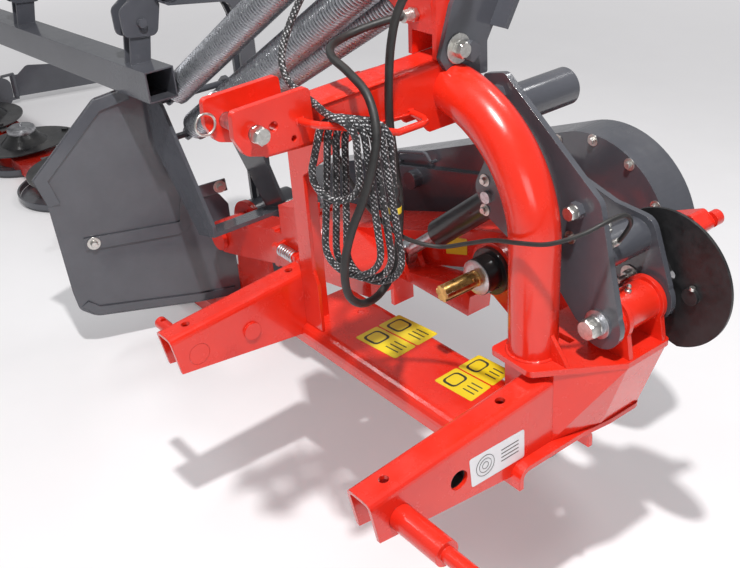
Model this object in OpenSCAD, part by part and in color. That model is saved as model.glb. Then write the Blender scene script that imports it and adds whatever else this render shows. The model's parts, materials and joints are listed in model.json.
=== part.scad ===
// Rear mounted disc mower on a three-point headstock, in millimetres.
// The origin is the middle of the lower hitch pin axis, +X to the tractor's left, +Y rearward.

/* [Hitch] */
// Distance between the shoulders of the lower hitch pins
hitch_span = 826; // [800:1:870]
// Height of the lower hitch pins above the ground
hitch_height = 500; // [480:1:540]
// Diameter of the lower hitch pins
pin_d = 28; // [22:0.5:36]
// Length of the lower hitch pins outside their shoulders
pin_len = 110; // [80:1:150]
// Diameter of the welded collar behind the right pin
collar_d = 47; // [44:1:56]
// Width of each hitch arm
arm_w = 62; // [54:1:72]
// Wall of the hitch arms
arm_wall = 8; // [5:0.5:12]
// Inner face of the right hitch arm from the centre plane
arm_right = 239; // [230:1:255]
// Upward slope of the hitch arms, in degrees
arm_slope = 5.3; // [4:0.1:6.5]

/* [Headstock] */
// Thickness of the crossbeam plate
beam_t = 10; // [6:0.5:14]
// Front edge of the crossbeam
beam_front = 250; // [235:1:260]
// Rear edge of the crossbeam
beam_rear = 440; // [425:1:455]
// Outer bend radius of the crossbeam lip
beam_bend = 25; // [20:1:30]
// Top of the crossbeam below the hitch pins
beam_drop = 38; // [34:1:42]
// Wall of the side column
column_wall = 8; // [5:0.5:12]
// Height of the underside of the pivot plate
pivot_plate_z = 108; // [104:1:116]
// Thickness of the pivot plate
pivot_plate_t = 12; // [8:0.5:16]
// Distance of the arch plane behind the hitch pins
arch_y = 374; // [368:1:380]
// Outer diameter of the arch tube
tube_d = 90; // [80:1:96]
// Wall of the arch tube
tube_wall = 7; // [4:0.5:10]
// Centre line radius of the arch
arch_r = 235; // [228:1:242]
// Width of the top beam
top_w = 72; // [64:1:80]
// Wall of the top beam
top_wall = 8; // [5:0.5:10]
// Height of the top link pin above the lower hitch pins
mast_height = 600; // [594:1:606]
// Diameter of the top link pin
link_pin_d = 25.4; // [20:0.2:32]
// Thickness of the clevis cheeks
cheek_t = 12; // [8:0.5:16]

/* [Lift brace] */
// Diameter of the brace pin in the sleeve
brace_pin_d = 40; // [34:0.5:46]
// Outer diameter of the sleeve
sleeve_d = 76; // [66:1:84]
// Thickness of the two brace plates
brace_t = 12; // [8:0.5:15]
// Diameter of the pin at the foot of the lift cylinder
cyl_pin_d = 24; // [18:0.5:30]
// Outer diameter of the lift cylinder
cyl_d = 60; // [52:1:66]
// Diameter of the lift rod
rod_d = 28; // [20:0.5:36]
// Radius of the black round disc
disc_plate_r = 133; // [120:1:145]

/* [Swing arm] */
// Height of the drive shaft above the lower hitch pins
shaft_z = 141; // [135:1:147]
// Outer diameter of the pivot tube
pivot_d = 100; // [94:1:106]
// Wall of the swing arm sleeves on the pivot tube
sleeve_wall = 18; // [12:0.5:22]
// Sideways distance from the drive shaft to the deck pivot
reach = 1063; // [1040:1:1085]
// Height of the deck pivot below the drive shaft
eye_drop = 293; // [280:1:305]
// Outer diameter of the eye of the swing arm
eye_d = 96; // [88:1:104]
// Outer diameter of the eye bushing
bush_d = 62; // [56:1:68]
// Diameter of the deck pin in the bushing
deck_pin_d = 40; // [34:0.5:46]
// Radial running clearance of every pivot
run_gap = 0.05; // [0.03:0.01:0.1]
// Diameter of the splined drive stub
spline_d = 34.9; // [30:0.1:38]

/* [Belt drive] */
// Radius of the upper end of the belt guard
guard_r1 = 205; // [195:1:215]
// Radius of the lower end of the belt guard
guard_r2 = 108; // [100:1:116]
// Front face of the belt guard
guard_y = 787; // [782:1:792]
// Depth of the belt guard
guard_w = 93; // [86:1:100]
// Sheet thickness of the belt guard
guard_t = 3; // [2:0.25:4]
// Radius of the upper pulley
pulley_r1 = 155; // [145:1:165]
// Radius of the lower pulley
pulley_r2 = 72; // [64:1:80]

/* [Springs] */
// Outer diameter of the lift springs
spring_d = 80; // [72:1:86]
// Wire diameter of the lift springs
wire_d = 9; // [7:0.5:11]
// Diameter of the spring pins
spring_pin_d = 18; // [14:0.5:22]

/* [Cutter bar] */
// Distance between neighbouring discs
disc_pitch = 482; // [470:1:490]
// Sideways distance from the deck pivot to the first disc
first_disc = 482; // [470:1:490]
// Distance of the disc centres behind the lower hitch pins
bar_y = 556; // [552:1:560]
// Width of the cutter bar
bar_w = 200; // [180:1:220]
// Thickness of the cutter bar
bar_t = 46; // [40:1:50]
// Long half axis of a disc
disc_a = 220; // [212:1:224]
// Short half axis of a disc
disc_b = 165; // [155:1:172]
// Radius of the hat of a disc
hat_r = 100; // [90:1:108]
// Radius of the blade pins about the disc centre
blade_r = 190; // [184:1:196]
// Length of a blade outside its pin
blade_l = 68; // [60:1:72]
// Thickness of a blade
blade_t = 4; // [3:0.5:5]

/* [Inner panel] */
// Sheet thickness of the inner panel
panel_t = 4; // [3:0.25:6]
// Turn of the inner panel about the vertical, in degrees
panel_turn = 73.7; // [72:0.1:75]

/* [Guard frame] */
// Size of the square front beam
frame_beam = 80; // [72:1:86]
// Wall of the front beam
frame_wall = 4; // [3:0.25:6]
// Diameter of the main tube
frame_tube_d = 76; // [68:1:84]
// Slope of the guard frame toward its outer end, in degrees
frame_slope = 2.8; // [2.4:0.1:3.2]

/* [Stand] */
// Side of the square stand leg
leg_w = 36; // [32:1:38]
// Diameter of the stand foot
foot_d = 104; // [96:1:108]

/* [Hidden] */

red = [0.86, 0.16, 0.11];
dark = [0.33, 0.33, 0.36];
zinc = [0.75, 0.76, 0.78];
black = [0.1, 0.1, 0.1];
gold = [0.78, 0.58, 0.22];

ground = -hitch_height;
beam_z = -beam_drop;
arm_left_x = -hitch_span / 2;
plate_top = pivot_plate_z + pivot_plate_t;
tube_x = arch_r - 3;
arch_z = mast_height - 35 - arch_r;
half_top = top_w / 2;
cheek_x = half_top + cheek_t;
eye_x = -reach;
eye_z = shaft_z - eye_drop;
brace_x = 325;
brace_z = plate_top + 67;
brace_y0 = 437;
brace_y1 = 575;
cyl_x0 = 53;
cyl_z0 = shaft_z + 200;
cyl_y = 540;
lug_x = -330;
lug_z = shaft_z - 101;
guard_back = guard_y + guard_w;
belt_y = guard_y + 14;
belt_w = guard_w - 34;
bar_top = ground + 60;
disc_z = bar_top + 20;
first_x = eye_x - first_disc;
bar_x0 = eye_x + 60;
bar_x1 = first_x - 4 * disc_pitch - 290;
hub_y = 340;
hub_z = mast_height - 110;
stand_x = -95;
stand_y = 744;

// Point helpers
function unit(v) = v / norm(v);
function turn(v, a) = [v[0] * cos(a) - v[1] * sin(a), v[0] * sin(a) + v[1] * cos(a)];
function corner(p, c, n, r, k) = let (
  a = unit(p - c), b = unit(n - c), h = acos(max(-1, min(1, a * b))) / 2,
  s = min(r / tan(h), 0.48 * norm(p - c), 0.48 * norm(n - c)), q = s * tan(h),
  m = c + unit(a + b) * sqrt(q * q + s * s), v = c + a * s - m, w = c + b * s - m,
  t = atan2(v[0] * w[1] - v[1] * w[0], v * w))
  [for (i = [0 : k]) m + turn(v, t * i / k)];
// A polygon whose corners are [x, y, radius]
function rounded(p, k = 4) = let (n = len(p)) [for (i = [0 : n - 1])
  let (c = [p[i][0], p[i][1]], a = p[(i + n - 1) % n], b = p[(i + 1) % n], r = p[i][2])
  each (r > 0 ? corner([a[0], a[1]], c, [b[0], b[1]], r, k) : [c])];
function arc(x, y, r, a, b, k = 5) = [for (i = [0 : k]) let (t = a + (b - a) * i / k)
  [x + r * cos(t), y + r * sin(t)]];

module xz(y0, t) {
  translate([0, y0 + t, 0]) rotate([90, 0, 0]) linear_extrude(t) children();
}
module yz(x0, t) {
  translate([x0, 0, 0]) rotate([90, 0, 90]) linear_extrude(t) children();
}
module xy(z0, t) {
  translate([0, 0, z0]) linear_extrude(t) children();
}
module cyl_y(x, z, y0, y1, r) {
  translate([x, y0, z]) rotate([-90, 0, 0]) cylinder(h = y1 - y0, r = r, $fn = 48);
}
module cyl_x(y, z, x0, x1, r) {
  translate([x0, y, z]) rotate([0, 90, 0]) cylinder(h = x1 - x0, r = r, $fn = 48);
}
module cyl_z(x, y, z0, z1, r) {
  translate([x, y, z0]) cylinder(h = z1 - z0, r = r, $fn = 48);
}
// The flat outline round two circles, as one belt runs round two pulleys
module belt_2d(a, ra, b, rb) {
  d = b - a;
  f = atan2(d[1], d[0]);
  g = acos((ra - rb) / norm(d));
  polygon(concat(arc(a[0], a[1], ra, f + g, f + 360 - g, 44),
    arc(b[0], b[1], rb, f - g, f + g, 36)));
}

// Sweep of a round tube along a list of points
function cross3(a, b) = [a[1] * b[2] - a[2] * b[1], a[2] * b[0] - a[0] * b[2],
  a[0] * b[1] - a[1] * b[0]];
function tangent(p, i) = unit(p[min(i + 1, len(p) - 1)] - p[max(i - 1, 0)]);
function side(t, u) = unit(u - t * (u * t));
function frames(p, u, i = 0, acc = []) = i == len(p) ? acc :
  let (t = tangent(p, i), s = side(t, i == 0 ? u : acc[i - 1][0]))
  frames(p, u, i + 1, concat(acc, [[s, cross3(t, s)]]));
module tube(p, r, n, u = [0.31, 0.2, 0.9]) {
  f = frames(p, u);
  m = len(p);
  pts = [for (i = [0 : m - 1]) for (j = [0 : n - 1])
    p[i] + r * (f[i][0] * cos(360 * j / n) + f[i][1] * sin(360 * j / n))];
  sides = [for (i = [0 : m - 2]) for (j = [0 : n - 1]) let (
    a = i * n + j, b = i * n + (j + 1) % n) each [[a, a + n, b + n], [a, b + n, b]]];
  ends = [[for (j = [0 : n - 1]) j], [for (j = [n - 1 : -1 : 0]) (m - 1) * n + j]];
  polyhedron(points = pts, faces = concat(sides, ends), convexity = 10);
}
// Points on a smooth curve through a route, with k steps on each stretch
function smooth(p, k) = [for (i = [0 : len(p) - 2]) for (j = [0 : k - 1]) let (
  a = p[max(i - 1, 0)], b = p[i], c = p[i + 1], d = p[min(i + 2, len(p) - 1)], t = j / k)
  0.5 * ((2 * b) + (c - a) * t + (2 * a - 5 * b + 4 * c - d) * t * t
  + (3 * b - a - 3 * c + d) * t * t * t), p[len(p) - 1]];

// Folded channel, open below, with its top at height 0
module channel_2d(w, h, t, r) {
  difference() {
    polygon(rounded([[0, -h, 0], [0, 0, r], [w, 0, r], [w, -h, 0]]));
    polygon(rounded([[t, -h - 1, 0], [t, -t, max(1, r - t)], [w - t, -t, max(1, r - t)],
      [w - t, -h - 1, 0]]));
  }
}
// Top of the hitch arms at distance y behind the pins
function arm_top(y) = 62 + (y + 6) * tan(arm_slope);
module hitch_arm(x0, y1) {
  intersection() {
    translate([x0, -6, 62]) rotate([arm_slope, 0, 0]) xz(-90, 480)
      channel_2d(arm_w, 170, arm_wall, 14);
    yz(x0 - 1, arm_w + 2) polygon(concat([[-45, -30], [-60, 57], [-78, 160], [y1, 160],
      [y1, beam_z]], arc(beam_front + beam_bend, beam_z - beam_bend, beam_bend, 90, 180),
      [[beam_front, beam_z - beam_bend]]));
  }
}
module arm_holes(x0) {
  for (y = [-6, 254]) cyl_z(x0 + arm_w / 2, y, arm_top(y) - 30, arm_top(y) + 20, 9);
}
module hitch_arm_left() {
  color(red) {
    difference() {
      hitch_arm(arm_left_x, beam_front + beam_bend + 10);
      arm_holes(arm_left_x);
      cyl_x(0, 0, arm_left_x - 1, arm_left_x + arm_w + 1, 24);
    }
    cyl_x(128, 1, arm_left_x + arm_w, arm_left_x + arm_w + 6, 20);
  }
}
module hitch_arm_right() {
  color(red) difference() {
    hitch_arm(arm_right, 354);
    arm_holes(arm_right);
    cyl_x(0, 0, arm_right - 1, arm_right + arm_w + 1, 24);
    cyl_x(128, 1, arm_right + arm_w - arm_wall - 1, arm_right + arm_w + 1, 19);
  }
}
// Lower hitch pins, each welded through its arm
module hitch_pins() {
  color(red) {
    difference() {
      union() {
        cyl_x(0, 0, arm_right, hitch_span / 2, collar_d / 2);
        cyl_x(0, 0, hitch_span / 2, hitch_span / 2 + pin_len, pin_d / 2);
      }
      cyl_z(hitch_span / 2 + pin_len - 16, 0, -40, 40, 6);
    }
    difference() {
      union() {
        cyl_x(0, 0, arm_left_x, arm_left_x + arm_w, collar_d / 2);
        cyl_x(0, 0, arm_left_x - pin_len, arm_left_x, pin_d / 2);
      }
      cyl_z(arm_left_x - pin_len + 16, 0, -40, 40, 6);
    }
  }
}
// Folded plate under the column and the arms, its front lip bent down
module crossbeam() {
  r = beam_bend;
  t = beam_t;
  x1 = 323;
  color(red) {
    difference() {
      yz(arm_left_x, x1 - arm_left_x) polygon(concat([[beam_front, beam_z - 44]],
        [for (p = arc(beam_front + r, beam_z - r, r, 180, 90)) p],
        [for (p = arc(beam_rear - r, beam_z - r, r, 90, 0)) p],
        [[beam_rear, beam_z - 44], [beam_rear - t, beam_z - 44]],
        [for (p = arc(beam_rear - r, beam_z - r, r - t, 0, 90)) p],
        [for (p = arc(beam_front + r, beam_z - r, r - t, 90, 180)) p],
        [[beam_front + t, beam_z - 44]]));
      for (x = [-300, 60]) cyl_z(x, beam_rear - 60, beam_z - 20, beam_z + 5, 8);
    }
    xy(beam_z - t, t) difference() {
      polygon(rounded([[150, beam_rear - r, 0], [x1, beam_rear - r, 0], [x1 + 8, 480, 10],
        [x1 + 8, 570, 20], [150, 570, 10]]));
      translate([240, 500]) circle(r = 30, $fn = 48);
    }
    for (x = [arm_left_x + arm_w, -120, 120]) yz(x, t) polygon([
      [beam_front + t, beam_z - t - 12], [beam_rear - t, beam_z - t - 12],
      [beam_rear - t, beam_z - 40], [beam_front + t, beam_z - 40]]);
  }
}
module column_2d(inset, s) {
  polygon([[181 + inset, 354 + inset], [301 - inset * 0.4, 354 + inset],
    [377 - s - inset, 458 - inset * 0.2], [377 - s - inset, 560 - inset],
    [181 + inset, 560 - inset]]);
}
// Tapered box under the pivot plate
module side_column() {
  w = column_wall;
  color(red) difference() {
    hull() {
      xy(beam_z, 1) column_2d(0, 50);
      xy(pivot_plate_z - 1, 1) column_2d(0, 0);
    }
    hull() {
      xy(beam_z - 1, 1) column_2d(w, 50);
      xy(pivot_plate_z, 1) column_2d(w, 0);
    }
  }
}
// Plate with two lugs and the sleeve of the brace pin
module pivot_plate() {
  sr = sleeve_d / 2;
  color(red) difference() {
    union() {
      xy(pivot_plate_z, pivot_plate_t) polygon(rounded([[176, 320, 12], [280, 315, 14],
        [378, 458, 14], [378, 575, 10], [176, 575, 8]]));
      for (y = [brace_y0 + 28, brace_y1 - 20]) xz(y, 10) union() {
        polygon([[brace_x - 45, plate_top], [brace_x + 50, plate_top],
          [brace_x + sr, brace_z], [brace_x - sr, brace_z]]);
        translate([brace_x, brace_z]) circle(r = sr + 8, $fn = 64);
      }
      cyl_y(brace_x, brace_z, brace_y0 + brace_t + 1, brace_y1 - 1, sr);
      cyl_y(brace_x - 28, brace_z + sr - 10, brace_y0 + 60, brace_y0 + 68, 6);
      xz(arch_y - 4, 8) polygon([[tube_x + tube_d / 2, plate_top],
        [tube_x + tube_d / 2 + 40, plate_top], [tube_x + tube_d / 2, plate_top + 50]]);
    }
    cyl_y(brace_x, brace_z, brace_y0, brace_y1 + 20, brace_pin_d / 2 + run_gap);
    translate([195, arch_y + 60, 0]) cube([70, 14, 400]);
  }
}
module arch_solid(r) {
  cyl_z(tube_x, arch_y, plate_top, arch_z, r);
  translate([tube_x - arch_r, arch_y, arch_z]) rotate([90, 0, 0])
    rotate_extrude(angle = 90, $fn = 96) translate([arch_r, 0]) circle(r = r, $fn = 48);
}
// Bent tube from the pivot plate to the side of the top beam
module arch_tube() {
  color(red) difference() {
    arch_solid(tube_d / 2);
    arch_solid(tube_d / 2 - tube_wall);
    translate([tube_x - arch_r - 100, arch_y - 100, arch_z])
      cube([half_top + 103, 200, arch_r + 100]);
  }
}
function top_z(y) = mast_height + 6 + (y + 10) * 0.034;
// Cheek outline of the top link clevis
module cheek_2d() {
  polygon(rounded([[-66, mast_height + 42, 8], [72, mast_height + 46, 8],
    [76, mast_height - 43, 8], [-19, mast_height - 40, 10], [-52, mast_height - 30, 18],
    [-68, mast_height, 14]]));
}
module top_beam() {
  color(red) {
    difference() {
      intersection() {
        translate([-half_top, 0, top_z(0)]) rotate([atan(0.034), 0, 0]) xz(-40, 500)
          channel_2d(top_w, 200, top_wall, 12);
        yz(-half_top - 1, top_w + 2) polygon([[-10, mast_height - 48],
          [-10, mast_height + 80], [430, mast_height + 80], [430, mast_height - 102],
          [318, mast_height - 102], [285, mast_height - 64]]);
      }
      cyl_z(10, 60, top_z(60) - 20, top_z(60) + 10, 8);
      cyl_x(-30, mast_height, -200, 200, link_pin_d / 2 + 0.4);
      cyl_x(2, mast_height + 2, -200, 200, 8);
    }
    yz(-half_top + top_wall, top_w - 2 * top_wall) polygon([[424, mast_height - 100],
      [430, mast_height - 100], [430, top_z(430) - top_wall], [424, top_z(424) - top_wall]]);
    for (s = [-1, 1]) difference() {
      yz(s > 0 ? half_top : -cheek_x, cheek_t) cheek_2d();
      cyl_x(-30, mast_height, -200, 200, link_pin_d / 2 + 0.4);
      cyl_x(2, mast_height + 2, -200, 200, 8);
      cyl_x(36, mast_height - 27, -200, 200, 5);
    }
  }
}
// Pin for the tractor's top link, with its ring
module top_link_pin() {
  color(zinc) {
    difference() {
      cyl_x(-30, mast_height, -cheek_x - 30, cheek_x + 12, link_pin_d / 2);
      cyl_z(-cheek_x - 18, -30, mast_height - 40, mast_height + 40, 5);
    }
    cyl_z(-cheek_x - 18, -30, mast_height - 22, mast_height + 22, 4.9);
    translate([-cheek_x - 18, -30, mast_height + 22]) rotate([0, 90, 0]) union() {
      rotate_extrude($fn = 48) translate([15, 0]) circle(r = 2.5, $fn = 16);
    }
  }
}
// Folded leg from the crossbeam to the left side of the top beam
module left_leg() {
  y0 = 267;
  xo = arm_left_x + arm_w;
  color(red) {
    xz(y0, 8) polygon([[xo, beam_z], [xo + 59, beam_z], [xo + 59, 80], [xo + 48, 110],
      [xo + 48, 330], [-half_top, mast_height - 80], [-half_top, mast_height - 4],
      [-100, mast_height - 12], [xo, 372]]);
    xz(y0 + 8, 48) polygon([[xo, beam_z], [xo + 8, beam_z], [xo + 8, 369],
      [-half_top, mast_height - 17], [-half_top, mast_height - 7], [-100, mast_height - 14],
      [xo, 372]]);
  }
}
// Round rod that carries the hoses beside the top beam
hanger_x = 90;
function hang_z(y) = mast_height - 18 - (min(max(y, 62), 206) - 104) * 0.372;
module hose_hanger() {
  g = half_top + 0.3;
  c = half_top + cheek_t + 0.3;
  color(red) tube(concat([[c, 50, hang_z(62)], [62, 51, hang_z(62)], [76, 54, hang_z(62)],
    [86, 60, hang_z(64)], [hanger_x, 70, hang_z(70)]],
    [for (y = [110, 158, 206, 258]) [hanger_x, y, hang_z(y)]],
    [[hanger_x - 5, 268, hang_z(206)], [hanger_x - 17, 275, hang_z(206)],
    [48, 278, hang_z(206)], [g, 279, hang_z(206)]]), hanger_r, 12);
}
hanger_r = 6;
// Upright plates on the arch head with the pins of the lift springs
spring_pins = [[403, 325], [441, 204], [530, 159]];
mast_top = mast_height + 410;
pin_x = -75;
module mast() {
  color(red) {
    for (x = [-half_top, half_top - 10]) yz(x, 10) polygon([[338, top_z(338)],
      [430, top_z(430)], [412, mast_top - 10], [352, mast_top - 10]]);
    xz(340, 12) polygon(rounded([[-half_top + 10, mast_height + 60, 0],
      [half_top - 10, mast_height + 60, 0], [half_top - 10, mast_top, 0],
      [pin_x - 25, mast_top, 20], [pin_x - 25, mast_height + 110, 20]]));
    xz(582, 10) polygon(rounded([[10, mast_height + 110, 20], [10, mast_top, 0],
      [pin_x - 25, mast_top, 20], [pin_x - 25, mast_height + 110, 20]]));
    xy(mast_top - 10, 10) polygon([[pin_x, 352], [half_top, 352],
      [half_top, 582], [pin_x, 582]]);
    for (p = spring_pins) cyl_y(pin_x, mast_height + p[1], 352, 582, spring_pin_d / 2);
  }
}
// Gray side bracket of the mast, with its bolt
module mast_bracket() {
  h = mast_height;
  color(dark) {
    difference() {
      yz(half_top, 10) polygon(rounded([[338, h + 22, 6], [352, h - 2, 6],
        [405, h - 22, 10], [446, h - 26, 4], [446, h + 30, 10], [520, h + 150, 20],
        [440, h + 200, 20], [368, h + 107, 20]]));
      cyl_x(400, h + 24, half_top - 1, half_top + 11, 9);
      arch_solid(tube_d / 2);
    }
    yz(half_top + 10, 36) polygon([[452, h + 56], [460, h + 52], [520, h + 150],
      [510, h + 156]]);
  }
  color(zinc) {
    cyl_x(400, h + 24, half_top, half_top + 12, 8.8);
    translate([half_top + 12, 400, h + 24]) rotate([0, 90, 0]) cylinder(h = 12, r = 19, $fn = 6);
  }
}
// Outline of the two brace plates
module brace_2d(rear = false) {
  h = mast_height;
  difference() {
    union() {
      polygon(rounded(concat([[brace_x + 46, brace_z + 14, 20]],
        rear ? [[brace_x - 6, brace_z + 150, 30], [brace_x - 90, brace_z + 156, 30],
          [cyl_x0 + 40, cyl_z0 + 42, 30], [cyl_x0 - 38, cyl_z0 + 42, 24]] :
        [[brace_x - 8, brace_z + 226, 24], [96, h - 14, 16], [half_top + 10, h - 26, 6],
          [half_top + 10, h - 190, 20]],
        [[cyl_x0 - 38, cyl_z0 + 10, rear ? 8 : 30], [cyl_x0, cyl_z0 - 42, 30],
        [brace_x - 92, brace_z + 30, 20], [brace_x - 44, brace_z - 20, 20]])));
      translate([brace_x, brace_z]) circle(r = 48, $fn = 64);
    }
    translate([brace_x, brace_z]) circle(r = brace_pin_d / 2 + run_gap, $fn = 64);
    translate([cyl_x0, cyl_z0]) circle(r = cyl_pin_d / 2 + run_gap, $fn = 64);
  }
}
// Two gray plates joined by cross tubes, which hold the foot of the lift cylinder
module lift_brace() {
  y0 = brace_y0 + brace_t;
  color(dark) {
    xz(brace_y0, brace_t) brace_2d();
    xz(brace_y1, brace_t) brace_2d(true);
    cyl_y(285, brace_z + 108, y0, brace_y1, 34);
    cyl_y(110, mast_height - 70, y0, brace_y1, 34);
  }
  color(zinc) {
    for (p = [[270, brace_z + 200], [85, mast_height - 52]])
      translate([p[0], brace_y0, p[1]]) rotate([90, 0, 0]) cylinder(h = 12, r = 16, $fn = 6);
    translate([150, brace_y1 + brace_t, 299]) rotate([-90, 0, 0])
      cylinder(h = 12, r = 16, $fn = 6);
  }
  color(black) cyl_y(150, mast_height - 213, brace_y0 - 14, brace_y0, 22);
}
// Pins of the brace: the large one in the sleeve and the cylinder's foot pin
module brace_pin() {
  color(zinc) {
    cyl_y(brace_x, brace_z, brace_y0 - 12, brace_y1 + brace_t + 10, brace_pin_d / 2);
    difference() {
      cyl_y(brace_x, brace_z, brace_y0 - 4, brace_y0, 27);
      cyl_y(brace_x, brace_z, brace_y0 - 5, brace_y0 + 1, brace_pin_d / 2);
    }
    cyl_y(cyl_x0, cyl_z0, brace_y0 - 8, brace_y1 + brace_t + 8, cyl_pin_d / 2);
  }
}
// Flat black disc with a straight cut, and its backing plate
module guard_disc() {
  r = disc_plate_r;
  color(black) difference() {
    cyl_y(340, 218, 600, 606, r);
    translate([200, 590, 218 - r - 20]) rotate([0, 12, 0]) cube([300, 30, 60]);
    cyl_y(348, 229, 590, 620, 9);
  }
  color(dark) {
    difference() {
      xz(brace_y1 + brace_t, 600 - brace_y1 - brace_t) polygon(rounded([[212, 295, 10],
        [258, 302, 10], [298, 308, 14], [352, 236, 14], [340, 180, 10], [290, 176, 10],
        [250, 200, 10]]));
      cyl_y(brace_x, brace_z, 580, 610, brace_pin_d / 2 + 3);
      cyl_y(348, 229, 580, 620, 9);
    }
    cyl_y(395, 205, 592, 600, 16);
  }
}
// Red bracket behind the disc, with a round zinc end
module disc_bracket() {
  color(red) {
    xz(606, 40) polygon(rounded([[250, 270, 10], [300, 322, 10], [372, 352, 10],
      [400, 330, 10], [330, 250, 10]]));
  }
  color(zinc) cyl_y(386, 334, 646, 664, 14);
}
// Tube on the drive shaft axis that the swing arm turns on, with its plates
module pivot_tube() {
  pr = pivot_d / 2;
  color(red) difference() {
    union() {
      cyl_y(0, shaft_z, 500, 768, pr);
      for (y = [500, 560]) xz(y, 14) union() {
        translate([0, shaft_z]) circle(r = pr + 10, $fn = 64);
        polygon([[0, shaft_z + pr + 10], [168, pivot_plate_z], [181, pivot_plate_z], [181, -20],
          [0, shaft_z - pr - 10]]);
      }
      cyl_y(0, shaft_z, 722, 768, pr + 12);
      difference() {
        union() {
          translate([stand_x - leg_w / 2 - 5, 722, 40]) cube([leg_w + 10, 46, 170]);
          translate([stand_x, 722, shaft_z - 25]) cube([-stand_x, 46, 50]);
        }
        translate([stand_x - leg_w / 2 - 0.3, stand_y + 1 - leg_w / 2 - 0.3, -100])
          cube([leg_w + 0.6, leg_w + 0.6, 600]);
      }
    }
    cyl_y(0, shaft_z, 400, 900, pr - 12);
  }
}
// Black bearing housing round the splined stub
module shaft_housing() {
  color(black) difference() {
    union() {
      cyl_y(0, shaft_z, 456, 500, 38);
      cyl_y(0, shaft_z, 490, 500, 50);
    }
    cyl_y(0, shaft_z, 400, 600, 24);
  }
}
// Parking leg in its square guide
module stand_leg() {
  y0 = stand_y + 1 - leg_w / 2;
  color(dark) {
    difference() {
      translate([stand_x - leg_w / 2, y0, ground + 12]) cube([leg_w, leg_w, hitch_height + 240]);
      for (i = [0 : 5]) cyl_y(stand_x, 190 - 50 * i, y0 - 5, y0 + leg_w + 5, 7);
    }
    cyl_z(stand_x, stand_y + 1, ground, ground + 12, foot_d / 2);
  }
}
// Braided hose hank: short and long loops hung over the rod side by side, as one tube.
// Its loops are turned hank_turn degrees from square to the rod. hank_low gives the bottom of each loop as
// sideways place, height against the mast height and radius.
hank_n = 4;
hank_r = 6;
hank_d = 16.4;
hank_y = 76;
hank_turn = 33;
fold_r = 36;
hank_low = [[8, -94, 42], [4, -228, 50], [0, -240, 50], [-4, -252, 50]];
function at(a) = [cos(a), sin(a)];
function fold(k) = [0, hang_z(hank_y + hank_d * k) - fold_r + hanger_r + hank_r + 2.5];
function low(k) = [hank_low[min(k, hank_n - 1)][0],
  mast_height + hank_low[min(k, hank_n - 1)][1]];
function low_r(k) = hank_low[min(k, hank_n - 1)][2];
function fall(k) = let (d = low(k) - fold(k)) atan2(d[1], d[0]);
function spread(k) = 90 + asin((low_r(k) - fold_r) / norm(low(k) - fold(k)));
function from_a(k) = k == 0 ? 130 : fall(k - 1) + spread(k - 1);
function to_a(k) = k == hank_n ? 180 : fall(k) - spread(k) + 360;
function hank_pt(i) = let (k = floor(i / 24), n = i - 24 * k, y = hank_y + hank_d * i / 24,
  a0 = from_a(k), a1 = to_a(k), a2 = fall(k) + spread(k),
  c = n < 8 ? fold(k) + fold_r * at(a0 + (a1 - a0) * n / 7) :
    n < 12 ? (fold(k) + fold_r * at(a1)) * (12 - n) / 5 +
      (low(k) + low_r(k) * at(a1)) * (n - 7) / 5 :
    n < 20 ? low(k) + low_r(k) * at(a2 - 2 * spread(k) * (19 - n) / 7) :
    (low(k) + low_r(k) * at(a2)) * (24 - n) / 5 + (fold(k + 1) + fold_r * at(a2)) * (n - 19) / 5)
  [hanger_x - c[0] * cos(hank_turn), y - c[0] * sin(hank_turn), c[1]];
// The run that leads to the hank, from a fitting on the mast over the top beam
hank_lead = [[-5, 339.6, 260], [-5, 328, 260], [-7, 300, 258], [-20, 255, 245],
  [-44, 210, 215], [-60, 165, 170], [-64, 122, 112], [-52, 92, 68], [-26, 82, 38],
  [10, 82, 23], [44, 82, 15], [72, 79, 9], [95, 79.4, 6.3], [102.8, 84.3, 3.5]];
function raise(p) = [for (q = p) q + [0, 0, mast_height]];
function drop(p, h) = [p[0], p[1], p[2] - h];
hank_end = hank_pt(24 * hank_n + 7);
hank_pts = concat([for (q = smooth(concat(raise(hank_lead), [hank_pt(0)]), 3))
  if (norm(q - hank_pt(0)) > 1) q], [for (i = [0 : 24 * hank_n + 7]) hank_pt(i)],
  [for (h = [25, 50, 75]) drop(hank_end, h)]);
echo(hank_least_gap_mm = least_gap(hank_pts, 2 * hank_r, 12));
module hose_hank() {
  color(black) tube(hank_pts, hank_r, 6);
  color(dark) tube([drop(hank_end, 75), drop(hank_end, 108), drop(hank_end, 140)], 11, 12);
}
// Free hoses, route points chosen by hand, heights against the mast height
rubber_route = [[36.4, 384, 250], [58, 384, 250], [82, 376, 251], [102, 357, 250],
  [112, 330, 246], [112, 296, 230], [98, 256, 188], [76, 232, 135], [64, 222, 80],
  [57, 218, 10], [54, 218, -51], [53, 224, -120], [54, 229, -195], [56, 221, -265],
  [60, 208, -308], [66, 182, -335], [76, 145, -346], [86, 108, -336], [94, 81, -308],
  [101, 70, -268], [109, 70, -222], [120, 80, -172], [132, 96, -125], [139, 112, -75],
  [133, 130, -22], [98, 144, 24], [44, 150, 48], [-4, 156, 60], [-40, 180, 65],
  [-55, 218, 69], [-50, 252, 76], [-38, 277, 82], [-28, 298, 86], [-20, 316, 88],
  [-17, 328, 88], [-16, 339.2, 88]];
thin_route = [[0, 130, 2.4], [0, 130, -18], [2, 134, -60], [14, 150, -130],
  [20, 190, -210], [36, 246, -278], [76, 292, -300], [130, 312, -282], [190, 316, -255],
  [250, 316, -238], [306, 328, -224], [346, 360, -204], [365, 400, -188], [365, 440, -192],
  [352, 472, -222], [328, 480, -262], [309.6, 480, -280.4]];
module rubber_hose() {
  color(black) tube(smooth(raise(rubber_route), 3), 7, 8);
}
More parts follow.
